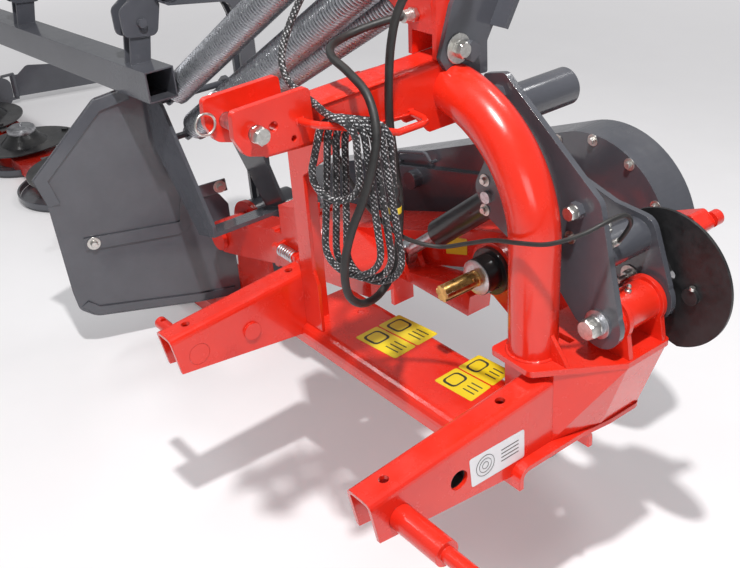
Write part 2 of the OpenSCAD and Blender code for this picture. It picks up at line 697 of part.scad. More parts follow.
module thin_hose() {
  color(black) tube(smooth(raise(thin_route), 3), 4, 8);
}
// Lift spring: one unbroken wire, hooked over its pin at both ends
curls = 22;
lower_x = -1150;
function lower_z(k) = shaft_z + [114, 3, 3][k];
function spring_frame(k) = let (a = [pin_x, spring_pins[k][0], mast_height + spring_pins[k][1]],
  b = [lower_x, spring_pins[k][0], lower_z(k)]) [a, b, unit(b - a), norm(b - a)];
hook_r = spring_pin_d / 2 + wire_d / 2 + 0.5;
coil_r = (spring_d - wire_d) / 2;
hook = concat([for (i = [0 : 6]) let (a = 20 - 33.33 * i) [hook_r * cos(a), 0, hook_r * sin(a)]],
  [[-hook_r, 0, 34], [-hook_r - 9, 0, 52]]);
function spring_pts(len) = let (c0 = 78, c1 = len - 78, n = curls * 8) concat(hook,
  [for (i = [0 : n]) [coil_r * cos(180 + 45 * i), coil_r * sin(180 + 45 * i),
    c0 + (c1 - c0) * i / n]],
  [for (i = [len(hook) - 1 : -1 : 0]) [hook[i][0], 0, len - hook[i][2]]]);
// Least distance between two runs of a tube that are more than skip points apart
function least_gap(p, d, skip) = min([for (i = [0 : len(p) - 1 - skip])
  for (j = [i + skip : len(p) - 1]) norm(p[i] - p[j])]) - d;
echo(spring_least_gap_mm = least_gap(spring_pts(spring_frame(0)[3]), wire_d, 5));
module lift_spring(k) {
  f = spring_frame(k);
  color(zinc) translate(f[0]) rotate([0, atan2(f[2][0], f[2][2]), 0])
    tube(spring_pts(f[3]), wire_d / 2, 6, [0, 1, 0.1]);
}
module lift_spring_1() {
  lift_spring(0);
}
module lift_spring_2() {
  lift_spring(1);
}
module lift_spring_3() {
  lift_spring(2);
}
// Frame of the lift cylinder: its own +Z runs from the foot pin to the rod's eye
cyl_v = [lug_x - cyl_x0, 0, lug_z - cyl_z0];
cyl_len = norm(cyl_v);
module on_cylinder() {
  translate([cyl_x0, cyl_y, cyl_z0]) rotate([0, atan2(cyl_v[0], cyl_v[2]), 0]) children();
}
module lift_cylinder() {
  color(black) on_cylinder() difference() {
    union() {
      cyl_y(0, 0, -14, 14, cyl_pin_d / 2 + 14);
      cyl_z(0, 0, cyl_pin_d / 2 + 6, cyl_len - 157, cyl_d / 2);
    }
    cyl_y(0, 0, -40, 40, cyl_pin_d / 2 + run_gap);
    cyl_z(0, 0, 60, cyl_len - 169, cyl_d / 2 - 7);
    cyl_z(0, 0, cyl_len - 170, cyl_len - 150, rod_d / 2 + run_gap);
  }
}
module lift_rod() {
  color(zinc) on_cylinder() difference() {
    union() {
      cyl_z(0, 0, cyl_len - 217, cyl_len - 202, cyl_d / 2 - 7 - run_gap);
      cyl_z(0, 0, cyl_len - 203, cyl_len - 22, rod_d / 2);
      translate([0, 0, cyl_len]) cyl_y(0, 0, -12, 12, 28);
    }
    translate([0, 0, cyl_len]) cyl_y(0, 0, -40, 40, 20);
  }
}
// Swing arm: box beam on two sleeves, with its lugs and brackets
module swing_box() {
  sr = pivot_d / 2 + sleeve_wall;
  z = shaft_z;
  color(red) difference() {
    union() {
      for (y = [585, 670]) cyl_y(0, z, y, y + 30, sr);
      xz(585, 115) polygon([[-60, z + 30], [-225, z - 13], [-268, z - 40], [-592, z - 142],
        [-592, z - 229], [-260, z - 124], [-40, z - 52]]);
      xz(700, 19) polygon([[-110, z + 4], [-225, z - 13], [-268, z - 40], [-592, z - 142],
        [-592, z - 229], [-260, z - 124], [-110, z - 90]]);
      xz(520, 65) polygon([[-358, z - 144], [-116, z - 96], [-92, z - 112], [-100, z - 162],
        [-315, z - 156], [-358, z - 162]]);
      xz(455, 245) polygon([[-765, z - 270], [-765, z - 170], [-592, z - 142],
        [-358, z - 144], [-358, z - 200], [-592, z - 240]]);
      xz(455, 60) polygon([[-732, z - 170], [-730, z - 82], [-628, z - 62], [-641, z - 135],
        [-620, z - 150]]);
      yz(-369, 12) polygon([[520, z - 246], [580, z - 246], [580, z - 180], [520, z - 180]]);
      for (y = [cyl_y - 30, cyl_y + 18]) xz(y, 12) union() {
        polygon([[lug_x - 45, z - 150], [lug_x + 45, z - 150], [lug_x + 20, lug_z],
          [lug_x - 20, lug_z]]);
        translate([lug_x, lug_z]) circle(r = 24, $fn = 48);
      }
      cyl_y(lug_x, lug_z, cyl_y - 40, cyl_y + 40, 12);
      for (p = [[-450, z - 140], [-560, z - 185], [-330, z - 105]])
        cyl_y(p[0], p[1], 719, guard_y, 18);
      for (x = [-722, -640]) yz(x, 10) polygon([[424, z - 207], [455, z - 217],
        [455, z - 177], [424, z - 182]]);
    }
    cyl_y(0, z, 500, 800, pivot_d / 2 + run_gap);
    xz(600, 85) polygon([[-240, z - 35], [-268, z - 50], [-580, z - 150], [-580, z - 216],
      [-262, z - 114], [-150, z - 80], [-150, z - 30]]);
  }
  color(zinc) {
    cyl_x(436, z - 195, -740, -722, 10);
    for (i = [0 : 6]) cyl_x(436, z - 195, -712 + i * 10, -706 + i * 10, 14);
    cyl_x(436, z - 195, -712, -640, 10);
    cyl_x(436, z - 195, -630, -618, 10);
  }
}
// Flange and tapered arm with the eye of the deck pivot, and its bushing
module eye_arm() {
  z = shaft_z;
  color(red) difference() {
    union() {
      yz(-781, 16) polygon([[455, z - 275], [700, z - 275], [700, z - 165], [455, z - 165]]);
      xz(455, 80) polygon([[eye_x + 24, eye_z - 44], [eye_x + 30, eye_z + 42],
        [eye_x + 68, eye_z + 71], [-781, z - 170], [-781, z - 270]]);
      cyl_y(eye_x, eye_z, 455, 535, eye_d / 2);
    }
    cyl_y(eye_x, eye_z, 400, 600, bush_d / 2);
  }
  color(gold) difference() {
    cyl_y(eye_x, eye_z, 453, 537, bush_d / 2);
    cyl_y(eye_x, eye_z, 400, 600, deck_pin_d / 2 + run_gap);
  }
}
// Height of the upper edge of the eye arm at x
function arm_edge(x) = let (a = [eye_x + 68, eye_z + 71], b = [-781, shaft_z - 170])
  a[1] + (x - a[0]) * (b[1] - a[1]) / (b[0] - a[0]);
module guard_2d(d) {
  belt_2d([0, shaft_z], guard_r1 - d, [eye_x, eye_z], guard_r2 - d);
}
// Deep sheet housing of the belt drive
module belt_guard() {
  t = guard_t;
  color(dark) {
    difference() {
      xz(guard_y + t, guard_w - t) guard_2d(0);
      xz(guard_y, guard_w - t) guard_2d(t);
    }
    for (p = [[0, shaft_z, 130], [eye_x, eye_z, 60]]) difference() {
      cyl_y(p[0], p[1], guard_back, guard_back + 12, p[2]);
      cyl_y(p[0], p[1], guard_back - 1, guard_back + 9, p[2] - 12);
    }
    for (p = [[60, shaft_z + 150], [0, shaft_z - 160], [150, shaft_z - 30]])
      cyl_y(p[0], p[1], guard_back, guard_back + 8, 9);
  }
}
// Front cover with the raised panel, rail, handle and cap
module belt_cover() {
  t = guard_t;
  z = shaft_z;
  color(dark) {
    difference() {
      xz(guard_y, t) guard_2d(0);
      cyl_y(0, z, guard_y - 1, guard_y + t + 1, 66);
      cyl_y(eye_x, eye_z, guard_y - 1, guard_y + t + 1, 40);
    }
    difference() {
      xz(guard_y - 12, 12) polygon(rounded([[-649, z - 49, 8], [-326, z + 20, 8],
        [-310, z - 90, 20], [-640, z - 190, 20]]));
      xz(guard_y - 10, 10) polygon(rounded([[-641, z - 59, 6], [-334, z + 7, 6],
        [-320, z - 86, 16], [-632, z - 178, 16]]));
      for (p = [[-450, z - 140], [-560, z - 185], [-330, z - 105]])
        cyl_y(p[0], p[1], 700, guard_y + 1, 19);
    }
  }
  color(zinc) tube([[-632, guard_y - 0.2, z - 35], [-632, guard_y - 12, z - 35],
    [-632, guard_y - 17, z - 30], [-628, guard_y - 17, z - 8], [-618, guard_y - 17, z - 1],
    [-524, guard_y - 17, z + 22], [-514, guard_y - 17, z + 20], [-500, guard_y - 17, z + 5],
    [-500, guard_y - 12, z + 2], [-500, guard_y - 0.2, z + 2]], 5, 10);
  color(black) cyl_y(-560, z - 58, guard_y - 40, guard_y - 12, 24);
}
// Three V-belts running round both pulleys
module v_belts() {
  g = 0.5;
  w = (belt_w - 12) / 3;
  color(black) for (i = [0 : 2]) xz(belt_y + 3 + i * (w + 3), w) difference() {
    belt_2d([0, shaft_z], pulley_r1 + 10, [eye_x, eye_z], pulley_r2 + 10);
    belt_2d([0, shaft_z], pulley_r1 + g, [eye_x, eye_z], pulley_r2 + g);
  }
}
// Bracket on the swing arm with the lower pins of the springs
module spring_bracket() {
  x = lower_x;
  color(dark) {
    for (y = [349, 571]) xz(y, 10) polygon(rounded([[-985, arm_edge(-985), 0],
      [-900, arm_edge(-900), 0], [-900, arm_edge(-900) + 30, 10],
      [x + 60, lower_z(0) + 10, 20], [x + 8, lower_z(0) + 26, 20],
      [x - 24, lower_z(0), 20], [x - 24, lower_z(2) - 20, 20]]));
    xz(349, 232) polygon([[-985, arm_edge(-985)], [-900, arm_edge(-900)],
      [-900, arm_edge(-900) + 12], [-985, arm_edge(-985) + 12]]);
  }
  color(zinc) for (k = [0, 1]) cyl_y(x, lower_z(k), 358, 572, spring_pin_d / 2);
}
// Drive shaft with its splined stub, bearing collars and upper pulley
module drive_shaft() {
  z = shaft_z;
  color(gold) difference() {
    cyl_y(0, z, 363, 456, spline_d / 2);
    for (i = [0 : 5]) rotate_about_y(60 * i) translate([-3.5, 362, spline_d / 2 - 3])
      cube([7, 72, 10]);
    translate([0, 444, z]) rotate([90, 0, 0]) rotate_extrude($fn = 48)
      translate([spline_d / 2 + 2, 0]) circle(r = 5, $fn = 24);
  }
  color(zinc) {
    cyl_y(0, z, 456, 500, 20);
    cyl_y(0, z, 500, guard_y + 8, 22);
    for (y = [504, 742]) cyl_y(0, z, y, y + 20, pivot_d / 2 - 12 - run_gap);
    pulley(0, z, pulley_r1);
  }
}
module rotate_about_y(a) {
  translate([0, 0, shaft_z]) rotate([0, a, 0]) children();
}
module pulley(x, z, r) {
  w = (belt_w - 12) / 3;
  union() {
    cyl_y(x, z, belt_y, belt_y + belt_w, r - 14);
    cyl_y(x, z, guard_y + 8, belt_y, 30);
    for (i = [0 : 3]) cyl_y(x, z, belt_y + i * (w + 3), belt_y + i * (w + 3) + 2.4, r + 4);
    for (i = [0 : 2]) cyl_y(x, z, belt_y + i * (w + 3) + 2.4, belt_y + i * (w + 3) + w + 3, r);
  }
}
module lower_pulley() {
  color(zinc) {
    cyl_y(eye_x, eye_z, 702, guard_y + 8, 18);
    pulley(eye_x, eye_z, pulley_r2);
  }
}
// Plate that hangs the cutter bar from the deck pivot
module carrier_plate() {
  color(red) {
    difference() {
      xz(545, 15) union() {
        translate([eye_x, eye_z]) circle(r = 78, $fn = 64);
        polygon(rounded([[eye_x - 78, eye_z, 0], [eye_x - 110, bar_top, 0],
          [eye_x + 100, bar_top, 0], [eye_x + 78, eye_z, 0]]));
      }
      cyl_y(eye_x, eye_z, 540, 570, deck_pin_d / 2);
    }
  }
  color(zinc) {
    cyl_y(eye_x, eye_z, 440, 560, deck_pin_d / 2 );
    cyl_y(eye_x, eye_z, 440, 452, 36);
    cyl_y(eye_x, eye_z, 538, 545, 30);
  }
}
// Gearbox with its leg down to the cutter bar
module gearbox() {
  color(dark) difference() {
    union() {
      cyl_y(eye_x, eye_z, 560, 700, 74);
      cyl_y(eye_x, eye_z, 690, 702, 50);
      translate([eye_x - 70, 562, bar_top]) cube([140, 130, eye_z - bar_top]);
      translate([eye_x - 84, 555, bar_top]) cube([168, 5 + 140, 14]);
      for (y = [590, 620, 650]) translate([eye_x - 78, y, bar_top + 14]) cube([156, 6, 120]);
    }
    cyl_y(eye_x, eye_z, 695, 710, 18 + run_gap);
    xz(540, 20.1) polygon([[eye_x - 130, bar_top - 10], [eye_x + 130, bar_top - 10],
      [eye_x + 130, bar_top + 60], [eye_x - 130, bar_top + 60]]);
  }
}
module bar_2d() {
  polygon(rounded([[bar_x0, bar_y - bar_w / 2, 30], [bar_x0, bar_y + bar_w / 2 + 46, 30],
    [bar_x0 - 160, bar_y + bar_w / 2 + 46, 20], [bar_x0 - 200, bar_y + bar_w / 2, 20],
    [bar_x1, bar_y + bar_w / 2, 40], [bar_x1, bar_y - bar_w / 2, 40]]));
}
// Cutter bar housing with a round boss under each disc
module cutter_bar() {
  color(red) {
    xy(bar_top - bar_t, bar_t) union() {
      bar_2d();
      for (i = [0 : 4]) translate([first_x - i * disc_pitch, bar_y - 14]) circle(r = 112, $fn = 64);
    }
    for (i = [0 : 4]) cyl_z(first_x - i * disc_pitch, bar_y, bar_top, bar_top + 8, 60);
  }
}
// Wear skids on the ground, with the plain shoes at both ends
module skids() {
  z = ground;
  h = bar_top - bar_t - ground;
  color(dark) {
    for (i = [0 : 4]) translate([first_x - i * disc_pitch, 0, 0]) difference() {
      union() {
        cyl_z(0, bar_y, z, z + h, 205);
        cyl_z(0, bar_y, z + h, z + h + 22, 215);
      }
      cyl_z(0, bar_y, z + h, z + h + 60, 207);
      xy(z + h, 40) polygon([[-230, bar_y - bar_w / 2 - 1], [230, bar_y - bar_w / 2 - 1],
        [230, bar_y + 300], [-230, bar_y + 300]]);
      xy(z - 1, 60) polygon([[-230, bar_y + 90], [230, bar_y + 90], [230, bar_y + 300],
        [-230, bar_y + 300]]);
    }
    xy(z, h) polygon(rounded([[eye_x + 90, bar_y - 130, 40], [eye_x + 90, bar_y + 160, 40],
      [eye_x - 200, bar_y + 160, 20], [eye_x - 200, bar_y - 130, 40]]));
    yz(bar_x1 - 12, 12) polygon(rounded([[bar_y - 260, ground, 60],
      [bar_y + 240, ground, 60], [bar_y + 240, ground + 130, 40],
      [bar_y + 40, ground + 240, 60], [bar_y - 200, ground + 170, 60]]));
    for (z0 = [ground + 28, ground + 151]) yz(bar_x1 - 14, 16) polygon([
      [bar_y + 200, z0], [bar_y + 266, z0], [bar_y + 266, z0 + 10], [bar_y + 200, z0 + 10]]);
    cyl_z(bar_x1 - 6, bar_y + 258, ground + 28, ground + 161, 9);
  }
}
// Disc with its raised hat and nut, and the two blade pins
module disc(i, a) {
  x = first_x - i * disc_pitch;
  z = disc_z;
  translate([x, bar_y, 0]) rotate([0, 0, a]) {
    color(black) difference() {
      union() {
        xy(z, 5) intersection() {
          circle(r = disc_a, $fn = 96);
          for (s = [1]) translate([0, 0]) disc_side();
        }
        translate([0, 0, z + 5]) rotate_extrude($fn = 96) polygon(rounded([[0, 0, 0],
          [hat_r, 0, 0], [hat_r - 8, 8, 8], [72, 26, 30], [52, 52, 16], [0, 56, 0]]));
      }
      for (s = [-1, 1]) cyl_z(s * blade_r, 0, z - 1, z + 6, 9);
    }
    color(zinc) {
      cyl_z(0, 0, bar_top + 8.3, z, 46);
      translate([0, 0, z + 61]) cylinder(h = 14, r = 24, $fn = 6);
      for (s = [-1, 1]) {
        cyl_z(s * blade_r, 0, z - 9, z + 8, 9);
        cyl_z(s * blade_r, 0, z + 5, z + 13, 15);
        cyl_z(s * blade_r, 0, z - 12, z - 9, 14);
      }
    }
  }
}
module disc_side() {
  r = (disc_a * disc_a + disc_b * disc_b) / (2 * disc_b);
  intersection() {
    translate([0, disc_b - r]) circle(r = r, $fn = 180);
    translate([0, r - disc_b]) circle(r = r, $fn = 180);
  }
}
// Free swinging blade on its pin
module blade(i, a, s) {
  x = first_x - i * disc_pitch;
  z = disc_z - 8;
  color(dark) translate([x, bar_y, 0]) rotate([0, 0, a]) translate([s * blade_r, 0, 0])
    difference() {
      xy(z + 0.5, blade_t) polygon(rounded([[-s * 16, -20, 8], [s * blade_l, -20, 2],
        [s * (blade_l - 6), 20, 2], [-s * 16, 20, 8]]));
      cyl_z(0, 0, z - 5, z + 20, 9 + 0.1);
    }
}
module disc_1() {
  disc(0, 0);
}
module disc_2() {
  disc(1, 90);
}
module disc_3() {
  disc(2, 0);
}
module disc_4() {
  disc(3, 90);
}
module disc_5() {
  disc(4, 0);
}
module blade_1a() {
  blade(0, 0, 1);
}
module blade_1b() {
  blade(0, 0, -1);
}
module blade_2a() {
  blade(1, 90, 1);
}
module blade_2b() {
  blade(1, 90, -1);
}
module blade_3a() {
  blade(2, 0, 1);
}
module blade_3b() {
  blade(2, 0, -1);
}
module blade_4a() {
  blade(3, 90, 1);
}
module blade_4b() {
  blade(3, 90, -1);
}
module blade_5a() {
  blade(4, 0, 1);
}
module blade_5b() {
  blade(4, 0, -1);
}
// Inner panel: a large sheet turned about the vertical, in its own plane
module on_panel() {
  translate([-1300, 76, 0]) rotate([0, 0, panel_turn - 90]) children();
}
module inner_panel() {
  color(dark) on_panel() {
    yz(-panel_t, panel_t) polygon(rounded([[-39, 82, 8], [163, 276, 30], [258, 294, 20],
      [336, 252, 12], [360, -84, 12], [462, -70, 10], [487, -110, 10], [487, -416, 12],
      [358, -412, 20], [48, -374, 60], [5, -340, 30], [-3, -280, 10], [-14, 5, 10]]));
    yz(-26, 22) polygon([[358, -86], [460, -74], [460, -70], [358, -82]]);
    yz(-40, 36) polygon([[60, -372], [350, -410], [350, -406], [60, -368]]);
  }
}
// Flat stay from the panel to the carrier plate
module panel_stay() {
  color(dark) on_panel() {
    yz(0.05, 6) polygon(rounded([[60, -160, 14], [60, -122, 14], [300, -48, 0], [478, -8, 10],
      [484, -42, 10], [300, -88, 0]]));
    for (p = [[83, -141], [452, -36]]) translate([6, p[0], p[1]]) rotate([0, 90, 0])
      cylinder(h = 10, r = 13, $fn = 6);
  }
}
// Guard frame: the tube, its posts and the hubs share one sloping frame
frame_x = -980;
beam_cy = hub_y - 20;
beam_cz = hub_z - 140;
tube_y = hub_y + 80;
tube_z = hub_z + 70;
hubs = [for (i = [0 : 3]) -1100 - 800 * i];
module on_frame() {
  translate([frame_x, 0, 0]) rotate([0, -frame_slope, 0]) translate([-frame_x, 0, 0])
    children();
}
module guard_tube() {
  r = frame_tube_d / 2;
  xo = bar_x1 - 22;
  color(dark) {
    difference() {
      union() {
        on_frame() cyl_x(tube_y, tube_z, -3775, -1060, r);
        for (x = [-1118, -1078]) yz(x, 12) polygon(rounded([[596, eye_z, 0], [644, eye_z, 0],
          [644, tube_z - 10, 20], [600, tube_z + 46, 30], [tube_y - 20, tube_z + 46, 20],
          [tube_y - 20, tube_z - 40, 10], [580, tube_z - 66, 30], [596, tube_z - 110, 0]]));
      }
      cyl_y(eye_x, eye_z, 500, 800, 74);
      on_frame() cyl_x(tube_y, tube_z, -3800, -1000, r - 5);
    }
    on_frame() for (x = hubs) for (s = [-26, 20]) difference() {
      yz(x + s, 6) polygon(rounded([[hub_y - 52, hub_z - 30, 20], [hub_y - 52, hub_z + 40, 20],
        [tube_y - 40, tube_z + 30, 10], [tube_y - r + 4, tube_z, 0], [tube_y - 20, hub_z + 34, 0],
        [hub_y + 40, hub_z - 40, 20]]));
      cyl_x(hub_y, hub_z, x - 30, x + 30, 12);
      cyl_x(tube_y, tube_z, x - 30, x + 30, r);
    }
    difference() {
      yz(xo, 10) polygon(rounded([[bar_y - 120, ground + 60, 20], [bar_y + 60, ground + 60, 20],
        [tube_y + 50, 420, 30], [tube_y - 50, 420, 30]]));
      on_frame() cyl_x(tube_y, tube_z, -3900, -1060, r - 5);
    }
  }
}
// Folding front part of the guard: beam, uprights and their hub plates
module guard_front() {
  b = frame_beam / 2;
  w = frame_wall;
  color(dark) on_frame() {
    difference() {
      translate([-3760, beam_cy - b, beam_cz - b]) cube([3760 + frame_x, 2 * b, 2 * b]);
      translate([-3761, beam_cy - b + w, beam_cz - b + w])
        cube([3762 + frame_x, 2 * b - 2 * w, 2 * b - 2 * w]);
    }
    for (x = hubs) {
      difference() {
        for (s = [-19.5, 13.5]) yz(x + s, 6) union() {
          polygon([[beam_cy - 26, beam_cz + b], [beam_cy + 30, beam_cz + b],
            [hub_y + 30, hub_z], [hub_y - 30, hub_z]]);
          translate([hub_y, hub_z]) circle(r = 34, $fn = 48);
        }
        cyl_x(hub_y, hub_z + 22, x - 30, x + 30, 5);
      }
      cyl_x(hub_y, hub_z, x - 40, x + 40, 12 - run_gap);
    }
  }
}
// Swath board on an upright pin behind the outer shoe
board_x = bar_x1 - 6;
board_y = bar_y + 258;
module swath_board() {
  color(dark) translate([board_x, board_y, 0]) rotate([0, 0, -18]) difference() {
    union() {
      cyl_z(0, 0, ground + 40, ground + 150, 15);
      yz(-3, 6) polygon(rounded([[8, ground + 40, 0], [8, ground + 150, 0],
        [26, ground + 150, 0], [76, ground + 190, 30], [420, ground + 150, 60], [440, ground + 40, 30]]));
    }
    cyl_z(0, 0, ground - 1, ground + 300, 9 + 2 * run_gap);
  }
}

hitch_arm_left();
hitch_arm_right();
hitch_pins();
crossbeam();
side_column();
pivot_plate();
arch_tube();
top_beam();
top_link_pin();
left_leg();
hose_hanger();
mast();
mast_bracket();
lift_brace();
brace_pin();
guard_disc();
disc_bracket();
pivot_tube();
shaft_housing();
stand_leg();
hose_hank();
rubber_hose();
thin_hose();
lift_spring_1();
lift_spring_2();
lift_spring_3();
lift_cylinder();
lift_rod();
swing_box();
eye_arm();
belt_guard();
belt_cover();
v_belts();
spring_bracket();
drive_shaft();
lower_pulley();
carrier_plate();
gearbox();
cutter_bar();
skids();
inner_panel();
panel_stay();
guard_tube();
guard_front();
swath_board();
disc_1();
disc_2();
disc_3();
disc_4();
disc_5();
blade_1a();
blade_1b();
blade_2a();
blade_2b();
blade_3a();
blade_3b();
blade_4a();
blade_4b();
blade_5a();
blade_5b();
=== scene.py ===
"""Looks of the disc mower: camera, materials, hoses, springs, fasteners, stickers, floor, light."""
import bpy
import bmesh
import json
import math
import random
from mathutils import Matrix, Vector


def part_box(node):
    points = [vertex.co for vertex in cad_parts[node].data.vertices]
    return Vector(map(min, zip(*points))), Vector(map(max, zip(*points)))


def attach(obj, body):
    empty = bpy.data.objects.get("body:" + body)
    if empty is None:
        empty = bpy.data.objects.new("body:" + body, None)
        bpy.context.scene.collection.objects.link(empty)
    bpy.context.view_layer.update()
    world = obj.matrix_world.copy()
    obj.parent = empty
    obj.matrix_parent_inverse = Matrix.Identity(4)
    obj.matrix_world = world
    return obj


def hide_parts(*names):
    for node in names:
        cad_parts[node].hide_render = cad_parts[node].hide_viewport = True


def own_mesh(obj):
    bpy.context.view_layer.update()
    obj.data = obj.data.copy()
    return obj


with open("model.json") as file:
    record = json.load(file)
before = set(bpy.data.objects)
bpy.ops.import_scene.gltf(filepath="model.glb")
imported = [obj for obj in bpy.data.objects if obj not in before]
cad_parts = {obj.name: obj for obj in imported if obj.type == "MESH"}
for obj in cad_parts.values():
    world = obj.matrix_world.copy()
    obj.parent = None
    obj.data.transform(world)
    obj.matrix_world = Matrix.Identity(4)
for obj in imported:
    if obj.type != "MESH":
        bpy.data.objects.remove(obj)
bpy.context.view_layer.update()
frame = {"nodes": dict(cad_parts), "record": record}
nodes = frame["nodes"]
random.seed(7)
LEFT = (1, 0, 0)
FRONT = (0, -1, 0)
UP = (0, 0, 1)


def mm(x, y, z):
    """A point of part.scad, in metres."""
    return Vector((x, y, z)) * 0.001


# Camera: its focal length is in pixels of a photograph 740 pixels wide
FOCAL_PX = 1012.9
PHOTO_WIDTH_PX = 740
SENSOR_MM = 36.0
cam_data = bpy.data.cameras.new("camera")
cam_data.sensor_width = SENSOR_MM
cam_data.lens = FOCAL_PX / PHOTO_WIDTH_PX * SENSOR_MM
cam_data.clip_end = 100
camera = bpy.data.objects.new("camera", cam_data)
bpy.context.collection.objects.link(camera)
camera.matrix_world = Matrix((
    (0.6165, -0.3542, 0.7032, 1.289),
    (0.7846, 0.3513, -0.5110, -0.744),
    (-0.0659, 0.8668, 0.4945, 1.139),
    (0, 0, 0, 1)))
bpy.context.scene.camera = camera
bpy.context.scene.view_settings.view_transform = "Standard"


# Materials
class Look:
    """Builds one node material, with short calls for the nodes it uses most."""

    def __init__(self, name):
        self.mat = bpy.data.materials.new(name)
        self.mat.use_nodes = True
        self.nt = self.mat.node_tree
        self.nt.nodes.clear()
        self.out = self.new("ShaderNodeOutputMaterial")
        self.shader = self.new("ShaderNodeBsdfPrincipled")
        self.join(self.shader.outputs[0], self.out.inputs[0])
        self.coord = self.new("ShaderNodeTexCoord")
        self.place = self.coord.outputs["Object"]

    def new(self, kind, **values):
        n = self.nt.nodes.new(kind)
        for key, value in values.items():
            setattr(n, key, value)
        return n

    def join(self, a, b):
        self.nt.links.new(a, b)

    def put(self, socket, value):
        if isinstance(value, bpy.types.NodeSocket):
            self.join(value, socket)
        elif isinstance(value, (tuple, list)) and len(value) == 3 and socket.type == "RGBA":
            socket.default_value = (*value, 1)
        else:
            socket.default_value = value

    def noise(self, scale, detail=3.0, rough=0.5, vector=None, distortion=0.0):
        n = self.new("ShaderNodeTexNoise")
        self.join(vector or self.place, n.inputs["Vector"])
        n.inputs["Scale"].default_value = scale
        n.inputs["Detail"].default_value = detail
        n.inputs["Roughness"].default_value = rough
        n.inputs["Distortion"].default_value = distortion
        return n.outputs["Fac"]

    def cells(self, scale, feature="F1", out="Distance", vector=None):
        n = self.new("ShaderNodeTexVoronoi", feature=feature)
        self.join(vector or self.place, n.inputs["Vector"])
        n.inputs["Scale"].default_value = scale
        return n.outputs[out]

    def span(self, value, lo, hi, a=0.0, b=1.0):
        n = self.new("ShaderNodeMapRange")
        n.clamp = True
        self.join(value, n.inputs["Value"])
        for i, v in enumerate((lo, hi, a, b)):
            n.inputs[1 + i].default_value = v
        return n.outputs[0]

    def math(self, kind, a, b=0.0):
        n = self.new("ShaderNodeMath", operation=kind)
        self.put(n.inputs[0], a)
        self.put(n.inputs[1], b)
        return n.outputs[0]

    def mix(self, fac, a, b, kind="MIX"):
        n = self.new("ShaderNodeMix", data_type="RGBA", blend_type=kind)
        self.put(n.inputs[0], fac)
        self.put(n.inputs[6], a)
        self.put(n.inputs[7], b)
        return n.outputs[2]

    def stretched(self, x, y, z, turn=(0, 0, 0)):
        n = self.new("ShaderNodeMapping")
        self.join(self.place, n.inputs["Vector"])
        n.inputs["Rotation"].default_value = turn
        n.inputs["Scale"].default_value = (x, y, z)
        return n.outputs[0]

    def soft_edge(self, radius):
        """Normal with rounded edges, and how close a point is to an edge."""
        bevel = self.new("ShaderNodeBevel", samples=4)
        bevel.inputs["Radius"].default_value = radius
        geo = self.new("ShaderNodeNewGeometry")
        dot = self.new("ShaderNodeVectorMath", operation="DOT_PRODUCT")
        self.join(bevel.outputs[0], dot.inputs[0])
        self.join(geo.outputs["Normal"], dot.inputs[1])
        return bevel.outputs[0], self.span(dot.outputs["Value"], 0.995, 0.80)

    def bump(self, height, strength, distance, normal=None):
        n = self.new("ShaderNodeBump")
        n.inputs["Strength"].default_value = strength
        n.inputs["Distance"].default_value = distance
        self.join(height, n.inputs["Height"])
        if normal is not None:
            self.join(normal, n.inputs["Normal"])
        return n.outputs[0]

    def up_dust(self, scale, most):
        """Fine dust that lies on faces that look up."""
        geo = self.new("ShaderNodeNewGeometry")
        parts = self.new("ShaderNodeSeparateXYZ")
        self.join(geo.outputs["Normal"], parts.inputs[0])
        up = self.span(parts.outputs["Z"], 0.5, 1.0)
        cloud = self.span(self.noise(scale, 6, 0.65), 0.42, 0.72, 0, most)
        return self.math("MULTIPLY", up, cloud)

    def set(self, **values):
        for key, value in values.items():
            self.put(self.shader.inputs[key.replace("_", " ")], value)
        return self.mat


def painted(name, colour, deep, edge_highlight_colour, rough, coat, dust=0.10, edge=0.0016, edge_highlight_share=0.5):
    """Glossy sprayed paint: soft edges, orange peel, slight tone changes, a painted highlight in
    patches along the edges, and dust.
    """
    k = Look(name)
    normal, rim = k.soft_edge(edge)
    tone = k.span(k.noise(5, 4, 0.6), 0.3, 0.7)
    base = k.mix(tone, colour, deep)
    cloudy = k.span(k.noise(38, 5, 0.6), 0.5, 0.8, 0, 0.35)
    base = k.mix(cloudy, base, deep)
    # Painted highlight: a lighter colour along the edges, broken into patches by noise.
    highlight_patches = k.span(k.noise(260, 3, 0.6), 0.56, 0.64)
    edge_highlight_mask = k.math("MULTIPLY", k.math("MULTIPLY", rim, highlight_patches), edge_highlight_share)
    base = k.mix(edge_highlight_mask, base, edge_highlight_colour)
    powder = k.up_dust(9, dust)
    base = k.mix(powder, base, (0.62, 0.58, 0.54))
    peel = k.noise(420, 2, 0.5)
    wave = k.noise(45, 2, 0.5)
    normal = k.bump(peel, 0.12, 0.0006, normal)
    normal = k.bump(wave, 0.10, 0.0022, normal)
    gloss = k.span(k.noise(22, 5, 0.65), 0.3, 0.75, rough, rough + 0.16)
    gloss = k.math("ADD", gloss, k.math("MULTIPLY", powder, 1.2))
    return k.set(Base_Color=base, Roughness=gloss, Normal=normal, Coat_Weight=coat,
                 Coat_Roughness=0.07, Coat_Normal=normal)


